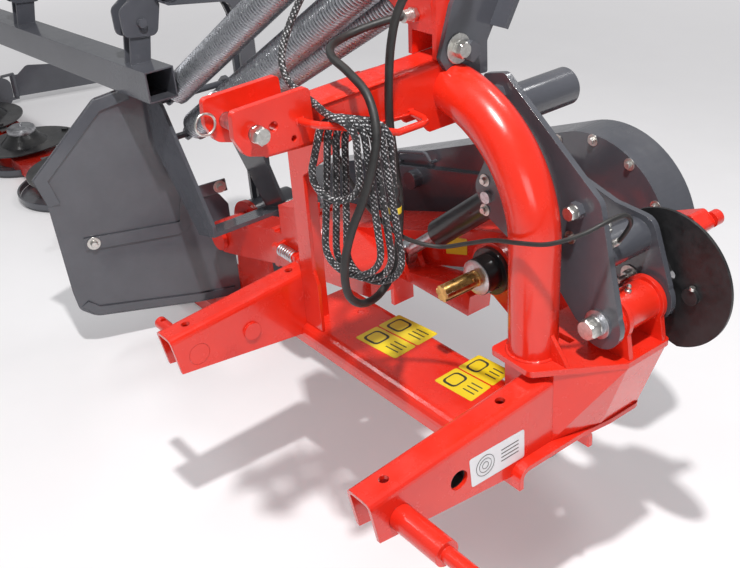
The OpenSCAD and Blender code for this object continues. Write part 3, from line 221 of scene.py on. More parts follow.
def metal(name, colour, deep, rough, spangle=120, streak=None, edge=0.0008):
    """Plated or bare steel: crystals, fine scratches, dull spots and a painted highlight along the
    edges.
    """
    k = Look(name)
    normal, rim = k.soft_edge(edge)
    grain = k.cells(spangle, out="Color")
    grey = k.new("ShaderNodeRGBToBW")
    k.join(grain, grey.inputs[0])
    base = k.mix(k.span(grey.outputs[0], 0.2, 0.8), colour, deep)
    spots = k.span(k.noise(55, 6, 0.7), 0.55, 0.78, 0, 0.7)
    base = k.mix(spots, base, streak or deep)
    scratch = k.noise(1, 2, 0.5, k.stretched(60, 60, 1400, (0.4, 0.3, 0.2)))
    normal = k.bump(scratch, 0.15, 0.0004, normal)
    gloss = k.span(k.noise(90, 4, 0.6), 0.3, 0.7, rough, rough + 0.2)
    # Painted highlight: edges lighter, towards near white.
    base = k.mix(k.math("MULTIPLY", rim, 0.4), base, (0.92, 0.92, 0.94))
    return k.set(Base_Color=base, Roughness=gloss, Normal=normal, Metallic=1.0)


def polymer(name, colour, pale, rough, grain=700, depth=0.0004):
    """Moulded plastic or rubber with a fine grain, a dusty bloom and a painted highlight along the
    edges.
    """
    k = Look(name)
    normal, rim = k.soft_edge(0.001)
    bloom = k.span(k.noise(30, 5, 0.65), 0.4, 0.75)
    base = k.mix(bloom, colour, pale)
    # Painted highlight: edges paler.
    base = k.mix(k.math("MULTIPLY", rim, 0.35), base, pale)
    base = k.mix(k.up_dust(14, 0.12), base, (0.3, 0.29, 0.27))
    normal = k.bump(k.noise(grain, 3, 0.6), 0.3, depth, normal)
    gloss = k.span(k.noise(60, 4, 0.6), 0.3, 0.7, rough, rough + 0.2)
    return k.set(Base_Color=base, Roughness=gloss, Normal=normal)


def braided(name):
    """Black braided sleeve with pale flecks, woven along the hose with its own UV map."""
    k = Look(name)
    uv = k.new("ShaderNodeUVMap")
    uv.uv_map = "UVMap"
    parts = k.new("ShaderNodeSeparateXYZ")
    k.join(uv.outputs[0], parts.inputs[0])
    around = k.math("MULTIPLY", parts.outputs["X"], 5.0)
    along = k.math("MULTIPLY", parts.outputs["Y"], 118.0)
    one = k.math("ADD", around, along)
    two = k.math("SUBTRACT", around, along)

    def ridge(v):
        f = k.math("FRACT", v)
        return k.math("ABSOLUTE", k.math("SUBTRACT", f, 0.5))
    a = ridge(one)
    b = ridge(two)
    over = k.math("MULTIPLY", k.span(a, 0.28, 0.36), k.span(b, 0.12, 0.22))
    rare = k.span(k.noise(150, 2, 0.5), 0.45, 0.52)
    fleck = k.math("MULTIPLY", over, rare)
    yarn = k.mix(k.span(k.noise(900, 2, 0.5), 0.3, 0.7), (0.008, 0.008, 0.009),
                 (0.022, 0.022, 0.025))
    base = k.mix(k.math("MULTIPLY", fleck, 0.85), yarn, (0.60, 0.60, 0.62))
    height = k.math("MAXIMUM", a, b)
    normal = k.bump(height, 0.7, 0.0014)
    gloss = k.span(k.noise(200, 3, 0.5), 0.3, 0.7, 0.42, 0.62)
    return k.set(Base_Color=base, Roughness=gloss, Normal=normal, Sheen_Weight=0.15,
                 Sheen_Roughness=0.4)


RED = (0.80, 0.028, 0.010)
# In each paint below, the third colour is its painted highlight along the edges.
red_look = painted("red_paint", RED, (0.70, 0.018, 0.007), (0.80, 0.16, 0.11), 0.17, 0.45,
                   dust=0.035)
dark_look = painted("dark_paint", (0.088, 0.092, 0.108), (0.064, 0.067, 0.080),
                    (0.30, 0.30, 0.32), 0.11, 0.5, dust=0.05)
black_look = painted("black_paint", (0.016, 0.016, 0.018), (0.010, 0.010, 0.011),
                     (0.10, 0.10, 0.11), 0.24, 0.4, dust=0.14)
zinc_look = metal("zinc", (0.66, 0.67, 0.69), (0.50, 0.51, 0.53), 0.28, 140)
spring_look = metal("spring_zinc", (0.50, 0.51, 0.54), (0.36, 0.37, 0.40), 0.20, 300,
                    edge=0.0003)
bolt_look = metal("bolt_zinc", (0.70, 0.69, 0.66), (0.58, 0.57, 0.54), 0.26, 260,
                  (0.50, 0.47, 0.40))
gold_look = metal("gold_steel", (0.72, 0.44, 0.15), (0.46, 0.25, 0.08), 0.22, 90,
                  (0.26, 0.14, 0.05))
blade_look = metal("blade_steel", (0.40, 0.39, 0.38), (0.27, 0.26, 0.25), 0.34, 80,
                   (0.20, 0.15, 0.11))
hub_look = metal("hub_steel", (0.58, 0.58, 0.60), (0.42, 0.42, 0.44), 0.26, 70)
plastic_look = polymer("black_plastic", (0.014, 0.014, 0.015), (0.030, 0.030, 0.032), 0.30)
rubber_look = polymer("rubber", (0.014, 0.014, 0.014), (0.032, 0.031, 0.030), 0.42, 500)
weave_look = braided("braided_sleeve")

LOOKS = {"red_paint": red_look, "dark_paint": dark_look, "zinc": zinc_look,
         "black_plastic": plastic_look, "rubber": rubber_look, "black_paint": black_look,
         "gold_steel": gold_look, "blade_steel": blade_look}
SLOT_OF = {row["node"]: row["material_slot"] for row in frame["record"]["subparts"]}
for name, obj in nodes.items():
    look = LOOKS[SLOT_OF[name]]
    if not obj.material_slots:
        obj.data.materials.append(look)
    for place in obj.material_slots:
        place.link = "OBJECT"
        place.material = look


# Mesh helpers
def make(name, verts, faces, look, body, smooth=True, angle=40):
    mesh = bpy.data.meshes.new(name)
    mesh.from_pydata([tuple(v) for v in verts], [], faces)
    mesh.materials.append(look)
    mesh.validate()
    bm = bmesh.new()
    bm.from_mesh(mesh)
    bmesh.ops.recalc_face_normals(bm, faces=bm.faces)
    for f in bm.faces:
        f.smooth = smooth
    if smooth:
        for e in bm.edges:
            if len(e.link_faces) == 2 and e.calc_face_angle(0) > math.radians(angle):
                e.smooth = False
    bm.to_mesh(mesh)
    bm.free()
    obj = bpy.data.objects.new(name, mesh)
    bpy.context.collection.objects.link(obj)
    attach(obj, body)
    return obj


def smooth_line(p, k):
    """Catmull-Rom curve through the points, as in part.scad."""
    out = []
    n = len(p)
    for i in range(n - 1):
        a = p[max(i - 1, 0)]
        b = p[i]
        c = p[i + 1]
        d = p[min(i + 2, n - 1)]
        for s in range(k):
            t = s / k
            out.append(0.5 * (2 * b + (c - a) * t + (2 * a - 5 * b + 4 * c - d) * t * t
                              + (3 * b - 3 * c + d - a) * t ** 3))
    out.append(p[-1].copy())
    return out


def rings(points, radius, sides, first=None):
    """Vertices and faces of a tube. radius is a number or one number for each point."""
    n = len(points)
    if not hasattr(radius, "__len__"):
        radius = [radius] * n
    tangents = [(points[min(i + 1, n - 1)] - points[max(i - 1, 0)]).normalized()
                for i in range(n)]
    side = (first or Vector((0.31, 0.2, 0.9))).cross(tangents[0]).normalized()
    verts = []
    for i, p in enumerate(points):
        side = (side - tangents[i] * side.dot(tangents[i])).normalized()
        other = tangents[i].cross(side)
        for j in range(sides):
            a = 2 * math.pi * j / sides
            verts.append(p + (side * math.cos(a) + other * math.sin(a)) * radius[i])
    faces = []
    for i in range(n - 1):
        for j in range(sides):
            k = (j + 1) % sides
            faces.append((i * sides + j, i * sides + k, (i + 1) * sides + k,
                          (i + 1) * sides + j))
    faces.append(tuple(range(sides))[::-1])
    faces.append(tuple((n - 1) * sides + j for j in range(sides)))
    return verts, faces


def pipe(name, points, radius, sides, look, body, first=None):
    """A tube piece with a UV map: U runs once around, V is the length in metres."""
    verts, faces = rings(points, radius, sides, first)
    obj = make(name, verts, faces, look, body)
    far = [0.0]
    for a, b in zip(points, points[1:]):
        far.append(far[-1] + (b - a).length)
    layer = obj.data.uv_layers.new(name="UVMap")
    for poly in obj.data.polygons:
        cols = [v % sides for v in poly.vertices]
        wrap = len(cols) == 4 and 0 in cols and sides - 1 in cols
        for loop, v in zip(poly.loop_indices, poly.vertices):
            col = v % sides
            u = 1.0 if wrap and col == 0 else col / sides
            layer.data[loop].uv = (u, far[v // sides])
    return obj


class Group:
    """Many small solids gathered into one piece."""

    def __init__(self):
        self.verts = []
        self.faces = []

    def add(self, verts, faces):
        base = len(self.verts)
        self.verts += [Vector(v) for v in verts]
        self.faces += [tuple(i + base for i in f) for f in faces]

    def turned(self, profile, place, axis, sides=24, twist=0.0):
        """A turned solid: profile is (radius, height) pairs along the axis from place.
        A third value of True makes that ring a hexagon across its corners."""
        axis = Vector(axis).normalized()
        helper = Vector((0, 0, 1)) if abs(axis.z) < 0.9 else Vector((1, 0, 0))
        u = helper.cross(axis).normalized()
        v = axis.cross(u)
        verts = []
        for row in profile:
            hexed = len(row) > 2 and row[2]
            for j in range(sides):
                a = 2 * math.pi * j / sides + twist
                r = row[0]
                if hexed:
                    b = (a - twist) % (math.pi / 3) - math.pi / 6
                    r = r * math.cos(math.pi / 6) / math.cos(b)
                verts.append(Vector(place) + axis * row[1]
                             + (u * math.cos(a) + v * math.sin(a)) * r)
        n = len(profile)
        faces = [(i * sides + j, i * sides + (j + 1) % sides,
                  (i + 1) * sides + (j + 1) % sides, (i + 1) * sides + j)
                 for i in range(n - 1) for j in range(sides)]
        faces.append(tuple(range(sides))[::-1])
        faces.append(tuple((n - 1) * sides + j for j in range(sides)))
        self.add(verts, faces)

    def bolt(self, place, axis, af, washer=True, tail=0.0):
        """Hex head across flats af with chamfer, washer face and optional shank end."""
        r = af / 2 / math.cos(math.pi / 6)
        h = af * 0.62
        w = 0.0
        if washer:
            w = af * 0.13
            self.turned([(af * 0.4, -0.0004), (af * 0.98, 0), (af * 1.0, w * 0.25),
                         (af * 1.0, w * 0.8), (af * 0.97, w)], place, axis, 28)
        spin = random.random() * 1.0
        rows = [(af * 0.3, w - 0.0004), (r * 0.94, w), (r, w + h * 0.06, True),
                (r, w + h * 0.82, True), (af * 0.47, w + h), (af * 0.30, w + h)]
        if tail:
            rows = rows[:-1] + [(af * 0.29, w + h), (af * 0.29, w + h + tail * 0.85),
                                (af * 0.25, w + h + tail)]
        self.turned(rows, place, axis, 24, twist=spin)

    def bead(self, points, radius):
        """A weld bead with ripples along a line."""
        line = []
        for a, b in zip(points, points[1:]):
            steps = max(2, int((b - a).length / 0.0028))
            line += [a.lerp(b, i / steps) for i in range(steps)]
        line.append(points[-1])
        size = [radius * (0.86 + 0.16 * math.sin(i * 2.1) + 0.05 * random.random())
                for i in range(len(line))]
        size[0] = size[-1] = radius * 0.4
        self.add(*rings(line, size, 7))

    def build(self, name, look, body, angle=32):
        return make(name, self.verts, self.faces, look, body, True, angle)


# Hoses
MAST = 600.0
HANGER_X = 90.0
HANGER_R = 6.0
HANK_N = 4
HANK_R = 6.0
HANK_D = 16.4
HANK_Y = 76.0
HANK_TURN = math.radians(33)
FOLD_R = 36.0
HANK_LOW = [(8, -94, 42), (4, -228, 50), (0, -240, 50), (-4, -252, 50)]


def hang_z(y):
    return MAST - 18 - (min(max(y, 62), 206) - 104) * 0.372


def at(a):
    return Vector((math.cos(math.radians(a)), math.sin(math.radians(a))))


def fold(k):
    return Vector((0, hang_z(HANK_Y + HANK_D * k) - FOLD_R + HANGER_R + HANK_R + 2.5))


def low(k):
    row = HANK_LOW[min(k, HANK_N - 1)]
    return Vector((row[0], MAST + row[1]))


def low_r(k):
    return HANK_LOW[min(k, HANK_N - 1)][2]


def fall(k):
    d = low(k) - fold(k)
    return math.degrees(math.atan2(d.y, d.x))


def spread(k):
    return 90 + math.degrees(math.asin((low_r(k) - FOLD_R) / (low(k) - fold(k)).length))


def hank_pt(i):
    k = i // 24
    n = i - 24 * k
    y = HANK_Y + HANK_D * i / 24
    a0 = 130 if k == 0 else fall(k - 1) + spread(k - 1)
    a1 = 180 if k == HANK_N else fall(k) - spread(k) + 360
    a2 = fall(k) + spread(k)
    if n < 8:
        c = fold(k) + FOLD_R * at(a0 + (a1 - a0) * n / 7)
    elif n < 12:
        c = ((fold(k) + FOLD_R * at(a1)) * ((12 - n) / 5)
             + (low(k) + low_r(k) * at(a1)) * ((n - 7) / 5))
    elif n < 20:
        c = low(k) + low_r(k) * at(a2 - 2 * spread(k) * (19 - n) / 7)
    else:
        c = ((low(k) + low_r(k) * at(a2)) * ((24 - n) / 5)
             + (fold(k + 1) + FOLD_R * at(a2)) * ((n - 19) / 5))
    return Vector((HANGER_X - c.x * math.cos(HANK_TURN), y - c.x * math.sin(HANK_TURN), c.y))


def raised(rows):
    return [Vector((x, y, z + MAST)) for x, y, z in rows]


LEAD = raised([(-5, 339.6, 260), (-5, 328, 260), (-7, 300, 258), (-20, 255, 245),
               (-44, 210, 215), (-60, 165, 170), (-64, 122, 112), (-52, 92, 68),
               (-26, 82, 38), (10, 82, 23), (44, 82, 15), (72, 79, 9), (95, 79.4, 6.3),
               (102.8, 84.3, 3.5)])
last = 24 * HANK_N + 7
hank_line = [q for q in smooth_line(LEAD + [hank_pt(0)], 3)
             if (q - hank_pt(0)).length > 1]
hank_line += [hank_pt(i) for i in range(last + 1)]
hank_line += [hank_pt(last) - Vector((0, 0, h)) for h in (25, 50, 75)]
RUBBER = raised([(36.4, 384, 250), (58, 384, 250), (82, 376, 251), (102, 357, 250),
                 (112, 330, 246), (112, 296, 230), (98, 256, 188), (76, 232, 135),
                 (64, 222, 80), (57, 218, 10), (54, 218, -51), (53, 224, -120),
                 (54, 229, -195), (56, 221, -265), (60, 208, -308), (66, 182, -335),
                 (76, 145, -346), (86, 108, -336), (94, 81, -308), (101, 70, -268),
                 (109, 70, -222), (120, 80, -172), (132, 96, -125), (139, 112, -75),
                 (133, 130, -22), (98, 144, 24), (44, 150, 48), (-4, 156, 60),
                 (-40, 180, 65), (-55, 218, 69), (-50, 252, 76), (-38, 277, 82),
                 (-28, 298, 86), (-20, 316, 88), (-17, 328, 88), (-16, 339.2, 88)])
THIN = raised([(0, 130, 2.4), (0, 130, -18), (2, 134, -60), (14, 150, -130),
               (20, 190, -210), (36, 246, -278), (76, 292, -300), (130, 312, -282),
               (190, 316, -255), (250, 316, -238), (306, 328, -224), (346, 360, -204),
               (365, 400, -188), (365, 440, -192), (352, 472, -222), (328, 480, -262),
               (309.6, 480, -280.4)])


def free_hose(name, node, rows, radius, sides, look, with_pieces=(), fine=8):
    """A hose that stands for its CAD node, which it hides."""
    path = [p * 0.001 for p in smooth_line(rows, fine)]
    obj = pipe(name, path, radius, sides, look, "headstock")
    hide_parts(node)
    return path


def ferrule(group, place, axis, r, long=0.026):
    """Crimped sleeve and hex nut where a hose leaves a fitting."""
    group.turned([(r * 1.0, -0.0005), (r * 1.75, 0), (r * 1.75, long * 0.30)], place, axis, 6)
    rows = [(r * 1.2, long * 0.30)]
    for i in range(5):
        h = long * (0.32 + 0.13 * i)
        rows += [(r * 1.48, h), (r * 1.48, h + long * 0.07), (r * 1.36, h + long * 0.10)]
    rows += [(r * 1.42, long), (r * 1.08, long * 1.02)]
    group.turned(rows, place, axis, 20)


def coupler_pieces(tail):
    """The coupler at the hank's free end and its coloured band."""
    knob = Group()
    knob.turned([(0.0052, 0.001), (0.0090, 0.001), (0.0105, -0.004), (0.0105, -0.014),
                 (0.0086, -0.018), (0.0086, -0.024), (0.0110, -0.028), (0.0110, -0.052),
                 (0.0098, -0.058), (0.0066, -0.060), (0.0066, -0.064), (0.0040, -0.065)],
                tail, UP, 28)
    coupler = knob.build("hose_coupler", plastic_look, "headstock")
    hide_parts("hose_hank")
    spot = Group()
    spot.turned([(0.0112, -0.034), (0.0114, -0.035), (0.0114, -0.044), (0.0112, -0.045)],
                tail, UP, 28)
    # The third colour is the painted highlight along the edges.
    yellow_look = painted("yellow_mark", (0.80, 0.60, 0.03), (0.74, 0.52, 0.02),
                          (0.85, 0.75, 0.40), 0.35, 0.2, dust=0.05, edge_highlight_share=0.2)
    band = spot.build("coupler_band", yellow_look, "headstock")
    return [coupler, band]


free_hose("hose_hank_skin", "hose_hank", hank_line, HANK_R * 0.001, 14, weave_look,
          coupler_pieces(hank_line[-1] * 0.001), 3)
rubber_path = free_hose("rubber_hose_skin", "rubber_hose", RUBBER, 0.007, 16, rubber_look)
thin_path = free_hose("thin_hose_skin", "thin_hose", THIN, 0.004, 16, rubber_look)
fittings = Group()
ferrule(fittings, hank_line[0] * 0.001, FRONT, 0.0062)
ferrule(fittings, rubber_path[0], LEFT, 0.0073)
ferrule(fittings, rubber_path[-1], FRONT, 0.0073)
ferrule(fittings, thin_path[0], (0, 0, -1), 0.0044, 0.018)
ferrule(fittings, thin_path[-1], (thin_path[-3] - thin_path[-1]), 0.0044, 0.018)
fittings.build("hose_fittings", bolt_look, "headstock")

# Lift springs
SPRING_TOPS = [(403, 925), (441, 804), (530, 759)]
SPRING_LOWS = [255, 144, 144]
SPRING_TOP_X = -75
SPRING_LOW_X = -1150
HOOK_R = 14
COIL_R = 35.5
COIL_PITCH = 11.4
COIL_START = 78
WIRE_R = 0.0045
TURN_STEPS = 22


def spring_line(size):
    """The wire of one spring in mm: hook, coil and hook, from its upper pin along +Z."""
    hook = []
    for i in range(19):
        a = math.radians(20 - 11.11 * i)
        hook.append(Vector((HOOK_R * math.cos(a), 0, HOOK_R * math.sin(a))))
    hook += smooth_line([Vector((-14, 0, 12)), Vector((-15, 0, 34)), Vector((-23, 0, 52)),
                         Vector((-33, 0, 68))], 4)
    coil = []
    coil_run = size - 2 * COIL_START
    steps = int(coil_run / COIL_PITCH) * TURN_STEPS
    for i in range(steps + 1):
        a = math.radians(180 + 360 * i / TURN_STEPS)
        coil.append(Vector((COIL_R * math.cos(a), COIL_R * math.sin(a),
                            COIL_START + coil_run * i / steps)))
    return hook + coil + [Vector((p.x, 0, size - p.z)) for p in reversed(hook)]


def lift_spring(k):
    """One spring between its pins."""
    top = Vector((SPRING_TOP_X, SPRING_TOPS[k][0], SPRING_TOPS[k][1]))
    bottom = Vector((SPRING_LOW_X, SPRING_TOPS[k][0], SPRING_LOWS[k]))
    size = (bottom - top).length
    zed = (bottom - top).normalized()
    yed = Vector((0, 1, 0))
    xed = yed.cross(zed)
    path = [(top + xed * p.x + yed * p.y + zed * p.z) * 0.001 for p in spring_line(size)]
    obj = pipe("spring_wire_%d" % (k + 1), path, WIRE_R, 8, spring_look,
               "spring_" + "abc"[k], Vector((0, 1, 0.1)))
    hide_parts("lift_spring_%d" % (k + 1))
    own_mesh(obj)


for k in range(3):
    lift_spring(k)

# Fasteners and welds of the headstock
BRACE_PIN_X = 325
BRACE_PIN_Z = 187
PIN_END_Y = 425.0
SHAFT_Z = 141
ARCH_FOOT = (232, 374, 120.6)
ARCH_FOOT_R = 46.5
SLEEVE_R = 39
CROSS_TUBE_R = 35


def turn_y(x, z, r, y, angles):
    """Points on a circle about a line along Y."""
    return [mm(x + r * math.cos(math.radians(a)), y, z + r * math.sin(math.radians(a)))
            for a in angles]


def headstock_fasteners():
    bolts = Group()
    bolts.bolt(mm(60.0, -34, 603), LEFT, 0.026, False)
    bolts.bolt(mm(46.0, 378, 632), LEFT, 0.026)
    bolts.bolt(mm(BRACE_PIN_X, PIN_END_Y, BRACE_PIN_Z), FRONT, 0.036, False)
    bolts.bolt(mm(279, 574.8, 211), FRONT, 0.020, True, 0.018)
    bolts.bolt(mm(270, PIN_END_Y, 387), FRONT, 0.024, False)
    bolts.bolt(mm(85, PIN_END_Y, 548), FRONT, 0.022, False)
    for place in ((255, 436.9, 330), (46, 436.8, 372), (46, 436.8, 312)):
        bolts.bolt(mm(*place), FRONT, 0.012)
    nipple = [(0.0050, -0.001), (0.0062, 0.0), (0.0062, 0.005, True), (0.0034, 0.006),
              (0.0034, 0.009), (0.0046, 0.011), (0.0046, 0.0135), (0.0026, 0.016)]
    bolts.turned(nipple, mm(330, 505.6, 224.4), (0.15, 0, 0.99), 18)
    bolts.turned(nipple, mm(285, 500, 328.8), (0.05, 0, 0.99), 18)
    bolts.turned([(0.004, -0.001), (0.0052, 0), (0.0052, 0.006)], mm(398, 593.7, 220.4),
                 (0.14, 0, 0.99), 16)
    bolts.build("fasteners_headstock", bolt_look, "headstock")


def headstock_welds():
    welds = Group()
    around = range(0, 361, 9)
    ring = [mm(ARCH_FOOT[0] + ARCH_FOOT_R * math.cos(math.radians(a)),
               ARCH_FOOT[1] + ARCH_FOOT_R * math.sin(math.radians(a)), ARCH_FOOT[2])
            for a in around]
    welds.bead(ring, 0.0040)
    welds.bead([mm(239.3, 300, 61.5), mm(239.3, 300, -30)], 0.0030)
    welds.bead([mm(293, 300.4, -34), mm(240, 300.4, -34)], 0.0030)
    welds.bead([mm(36.3, 84, 553), mm(36.3, 230, 545), mm(36.3, 282, 541)], 0.0022)
    welds.bead([mm(36.4, 84, 606), mm(36.4, 200, 610), mm(36.4, 280, 613)], 0.0022)
    for y in (44, 56):
        welds.bead([mm(48.4, y, 603), mm(48.4, y, 592)], 0.0026)
    welds.bead([mm(36.3, 272, 549), mm(36.3, 286, 549)], 0.0026)
    welds.bead(turn_y(BRACE_PIN_X, BRACE_PIN_Z, SLEEVE_R, 449.6, range(-60, 241, 9)), 0.0028)
    welds.bead(turn_y(285, 295, CROSS_TUBE_R, 447.6, around), 0.0026)
    welds.build("weld_beads", red_look, "headstock")


def linch_ring():
    wire = [mm(-31, -70 + 17 * math.cos(math.radians(a)), 605 + 17 * math.sin(math.radians(a)))
            for a in range(0, 361, 10)]
    pipe("linch_ring", wire, 0.0021, 10, bolt_look, "headstock", Vector((1, 0, 0.1)))


headstock_fasteners()
headstock_welds()
linch_ring()

# Plain stickers
BEAM_TOP_Z = -38
ARM_SIDE_X = 301
STICKER_PLACES = [[(-224, 305), (-230, 433), (-111, 444), (-101, 316)],
                  [(13, 323), (8, 451), (98, 457), (115, 329)]]
FILM_LIFT = 0.0002
FILM_T = 0.0004
INK_LIFT = 0.0005
INK_T = 0.0003
# In these paints the third colour is the painted highlight along the edges.
sticker_look = painted("sticker_yellow", (0.83, 0.66, 0.02), (0.78, 0.58, 0.015),
                       (0.90, 0.85, 0.60), 0.28, 0.3, dust=0.05, edge_highlight_share=0.3)
label_look = painted("sticker_white", (0.80, 0.80, 0.82), (0.74, 0.74, 0.77),
                     (0.9, 0.9, 0.9), 0.26, 0.3, dust=0.05, edge_highlight_share=0.3)
ink_look = polymer("sticker_ink", (0.02, 0.02, 0.02), (0.06, 0.06, 0.05), 0.35, 300, 0.0001)


def flat_piece(group, corners, normal, lift, thick, round_to=0.006, steps=5):
    """A thin plate with rounded corners on a flat face."""
    normal = Vector(normal).normalized()
    n = len(corners)
    outline = []
    for i, c in enumerate(corners):
        a = (corners[i - 1] - c).normalized()
        b = (corners[(i + 1) % n] - c).normalized()
        p = c + a * round_to
        q = c + b * round_to
        for k in range(steps + 1):
            t = k / steps
            outline.append(p * (1 - t) ** 2 + c * (2 * t * (1 - t)) + q * t * t)
    m = len(outline)
    verts = [v + normal * lift for v in outline] + [v + normal * (lift + thick)
                                                    for v in outline]
    faces = [tuple(range(m))[::-1], tuple(range(m, 2 * m))]
    faces += [(i, (i + 1) % m, m + (i + 1) % m, m + i) for i in range(m)]
    group.add(verts, faces)


def part_of(corners, u0, v0, u1, v1):
    """A smaller rectangle within four corners, given in shares of its sides."""
    def at_uv(u, v):
        a = corners[0].lerp(corners[1], u)
        b = corners[3].lerp(corners[2], u)
        return a.lerp(b, v)
    return [at_uv(u0, v0), at_uv(u1, v0), at_uv(u1, v1), at_uv(u0, v1)]


def beam_stickers():
    """Two pairs of yellow stickers, each with an empty frame and three bars."""
    yellow = Group()
    ink = Group()
    for places in STICKER_PLACES:
        corners = [mm(x, y, BEAM_TOP_Z) for x, y in places]
        for v0, v1 in ((0.0, 0.485), (0.515, 1.0)):
            flat_piece(yellow, part_of(corners, v0, 0.0, v1, 1.0), UP, FILM_LIFT, FILM_T)
            for row in range(3):
                u = v0 + (v1 - v0) * (0.30 + 0.2 * row)
                flat_piece(ink, part_of(corners, u, 0.60, u + 0.025, 0.90), UP, INK_LIFT,
                           INK_T, 0.001, 2)
            inset = 0.07 * (v1 - v0) * 2
            edge = part_of(corners, v0 + inset, 0.10, v1 - inset, 0.46)
            flat_piece(ink, edge, UP, INK_LIFT, INK_T, 0.012)
            flat_piece(yellow, part_of(edge, 0.12, 0.10, 0.88, 0.90), UP, 0.0007, INK_T,
                       0.010)
    yellow.build("stickers_yellow", sticker_look, "headstock")
    ink.build("sticker_marks", ink_look, "headstock")


def arm_label():
    """The white label on the left hitch arm, with rings and lines."""
    label = Group()
    edge = [mm(ARM_SIDE_X, y, z) for y, z in ((151, 31), (156, -32), (283, -34), (282, 28))]
    flat_piece(label, edge, LEFT, FILM_LIFT, FILM_T)
    label.build("sticker_label", label_look, "headstock")
    ink = Group()
    centre = mm(ARM_SIDE_X, 188, 0)
    for r in (0.021, 0.014, 0.007):
        wheel = [centre + Vector((0.0008, r * math.cos(math.radians(a)),
                                  r * math.sin(math.radians(a)))) for a in range(0, 361, 12)]
        ink.add(*rings(wheel, 0.0005, 6, Vector((1, 0, 0.1))))
    for z in (12, 4, -4, -12):
        line = [mm(ARM_SIDE_X, y, q)
                for y, q in ((226, z), (226, z - 2), (268, z - 2), (268, z))]
        flat_piece(ink, line, LEFT, INK_LIFT, INK_T, 0.0004, 2)
    ink.build("label_marks", ink_look, "headstock")


beam_stickers()
arm_label()

# Cutter bar
PANEL_PLACE = mm(-1300, 76, 0)
PANEL_TURN = math.radians(73.7 - 90)
STAY_T = 6.3
BAR_TOP_Z = -440.2
FIRST_BOLT_X = -1245
LAST_BOLT_X = -3700
DISC_PITCH = 482


def disc_dome(i):
    """The polished cap and nut on a disc's hat."""
    lo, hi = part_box("disc_%d" % i)
    cx = (lo[0] + hi[0]) / 2
    cy = (lo[1] + hi[1]) / 2
    top = hi[2]
    dome = Group()
    dome.turned([(0.052, -0.030), (0.060, -0.026), (0.062, -0.014), (0.058, -0.004),
                 (0.050, 0.0012), (0.036, 0.0040), (0.020, 0.0052), (0.006, 0.0056)],
                (cx, cy, top), UP, 40)
    dome.bolt(Vector((cx, cy, top + 0.0050)), UP, 0.012, False)
    dome.build("disc_dome_%d" % i, hub_look, "disc_%d" % i)


def on_panel(off, y, z):
    """A point in the inner panel's own frame, as in part.scad, in mm."""
    return PANEL_PLACE + Matrix.Rotation(PANEL_TURN, 3, "Z") @ mm(off, y, z)


def flat_bar(group, line, width, low_off, high_off):
    """A flat bar that follows a line of (y, z) points on the panel."""
    verts = []
    n = len(line)
    for i, p in enumerate(line):
        run = (Vector(line[min(i + 1, n - 1)]) - Vector(line[max(i - 1, 0)])).normalized()
        side = Vector((-run.y, run.x)) * width / 2
        for off, sign in ((low_off, 1), (low_off, -1), (high_off, -1), (high_off, 1)):
            verts.append(on_panel(off, p[0] + side.x * sign, p[1] + side.y * sign))
    faces = [(i * 4 + j, i * 4 + (j + 1) % 4, i * 4 + 4 + (j + 1) % 4, i * 4 + 4 + j)
             for i in range(n - 1) for j in range(4)]
    faces += [(3, 2, 1, 0), tuple(n * 4 - 4 + j for j in range(4))]
    group.add(verts, faces)


def panel_stay():
    """The stepped flat stay that stands for the plain one."""
    stay = Group()
    flat_bar(stay, [(60, -137), (70, -137), (200, -144), (322, -150), (343, -147),
                    (355, -134), (358, -118), (361, -88), (366, -70), (379, -58),
                    (396, -54), (440, -50), (488, -46)], 37, 0.3, STAY_T)
    piece = stay.build("panel_stay_bar", dark_look, "deck")
    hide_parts("panel_stay")


def hem(group, outer, inner, low_off, high_off):
    """A folded edge of the panel: it rises from the outer line to the inner one."""
    n = len(outer)
    verts = [on_panel(low_off, *p) for p in outer] + [on_panel(high_off, *p) for p in inner]
    verts += [on_panel(low_off, *p) for p in inner]
    faces = []
    for i in range(n - 1):
        for a, b in ((0, 1), (1, 2), (2, 0)):
            faces.append((a * n + i, a * n + i + 1, b * n + i + 1, b * n + i))
    faces += [(0, n, 2 * n), (n - 1, 3 * n - 1, 2 * n - 1)]
    group.add(verts, faces)


def panel_hems():
    hems = Group()
    hem(hems, [(-13, -4), (-37, 80), (163, 274), (256, 292)],
        [(20, 2), (2, 74), (176, 242), (260, 258)], 0.2, 7)
    hem(hems, [(10, -334), (50, -371), (358, -409), (470, -413)],
        [(34, -318), (64, -343), (358, -381), (470, -386)], 0.2, 6)
    hems.build("panel_hems", dark_look, "deck", 20)


def deck_fasteners():
    bar = Group()
    outward = (math.cos(PANEL_TURN), math.sin(PANEL_TURN), 0)
    for y, z in ((85, -138), (468, -48)):
        bar.bolt(on_panel(STAY_T, y, z), outward, 0.019)
    for i in range(6):
        for y in (484, 628):
            bar.bolt(mm(max(FIRST_BOLT_X - DISC_PITCH * i, LAST_BOLT_X), y, BAR_TOP_Z), UP,
                     0.015)
    bar.build("fasteners_deck", bolt_look, "deck")


for i in range(1, 6):
    disc_dome(i)
panel_stay()
panel_hems()
deck_fasteners()

# Swing arm
GUARD_FACE_Y = 786.8
EYE_X = -1063
EYE_Z = -152
BOX_FACE_Y = 585


def guard_bolts():
    """Bolts along the two round ends of the belt guard's cover."""
    swing = Group()
    for place in (turn_y(0, SHAFT_Z, 193, GUARD_FACE_Y, range(-30, 181, 30))
                  + turn_y(EYE_X, EYE_Z, 97, GUARD_FACE_Y, range(180, 301, 40))):
        swing.bolt(place, FRONT, 0.013)
    swing.build("fasteners_swing_arm", bolt_look, "swing_arm")


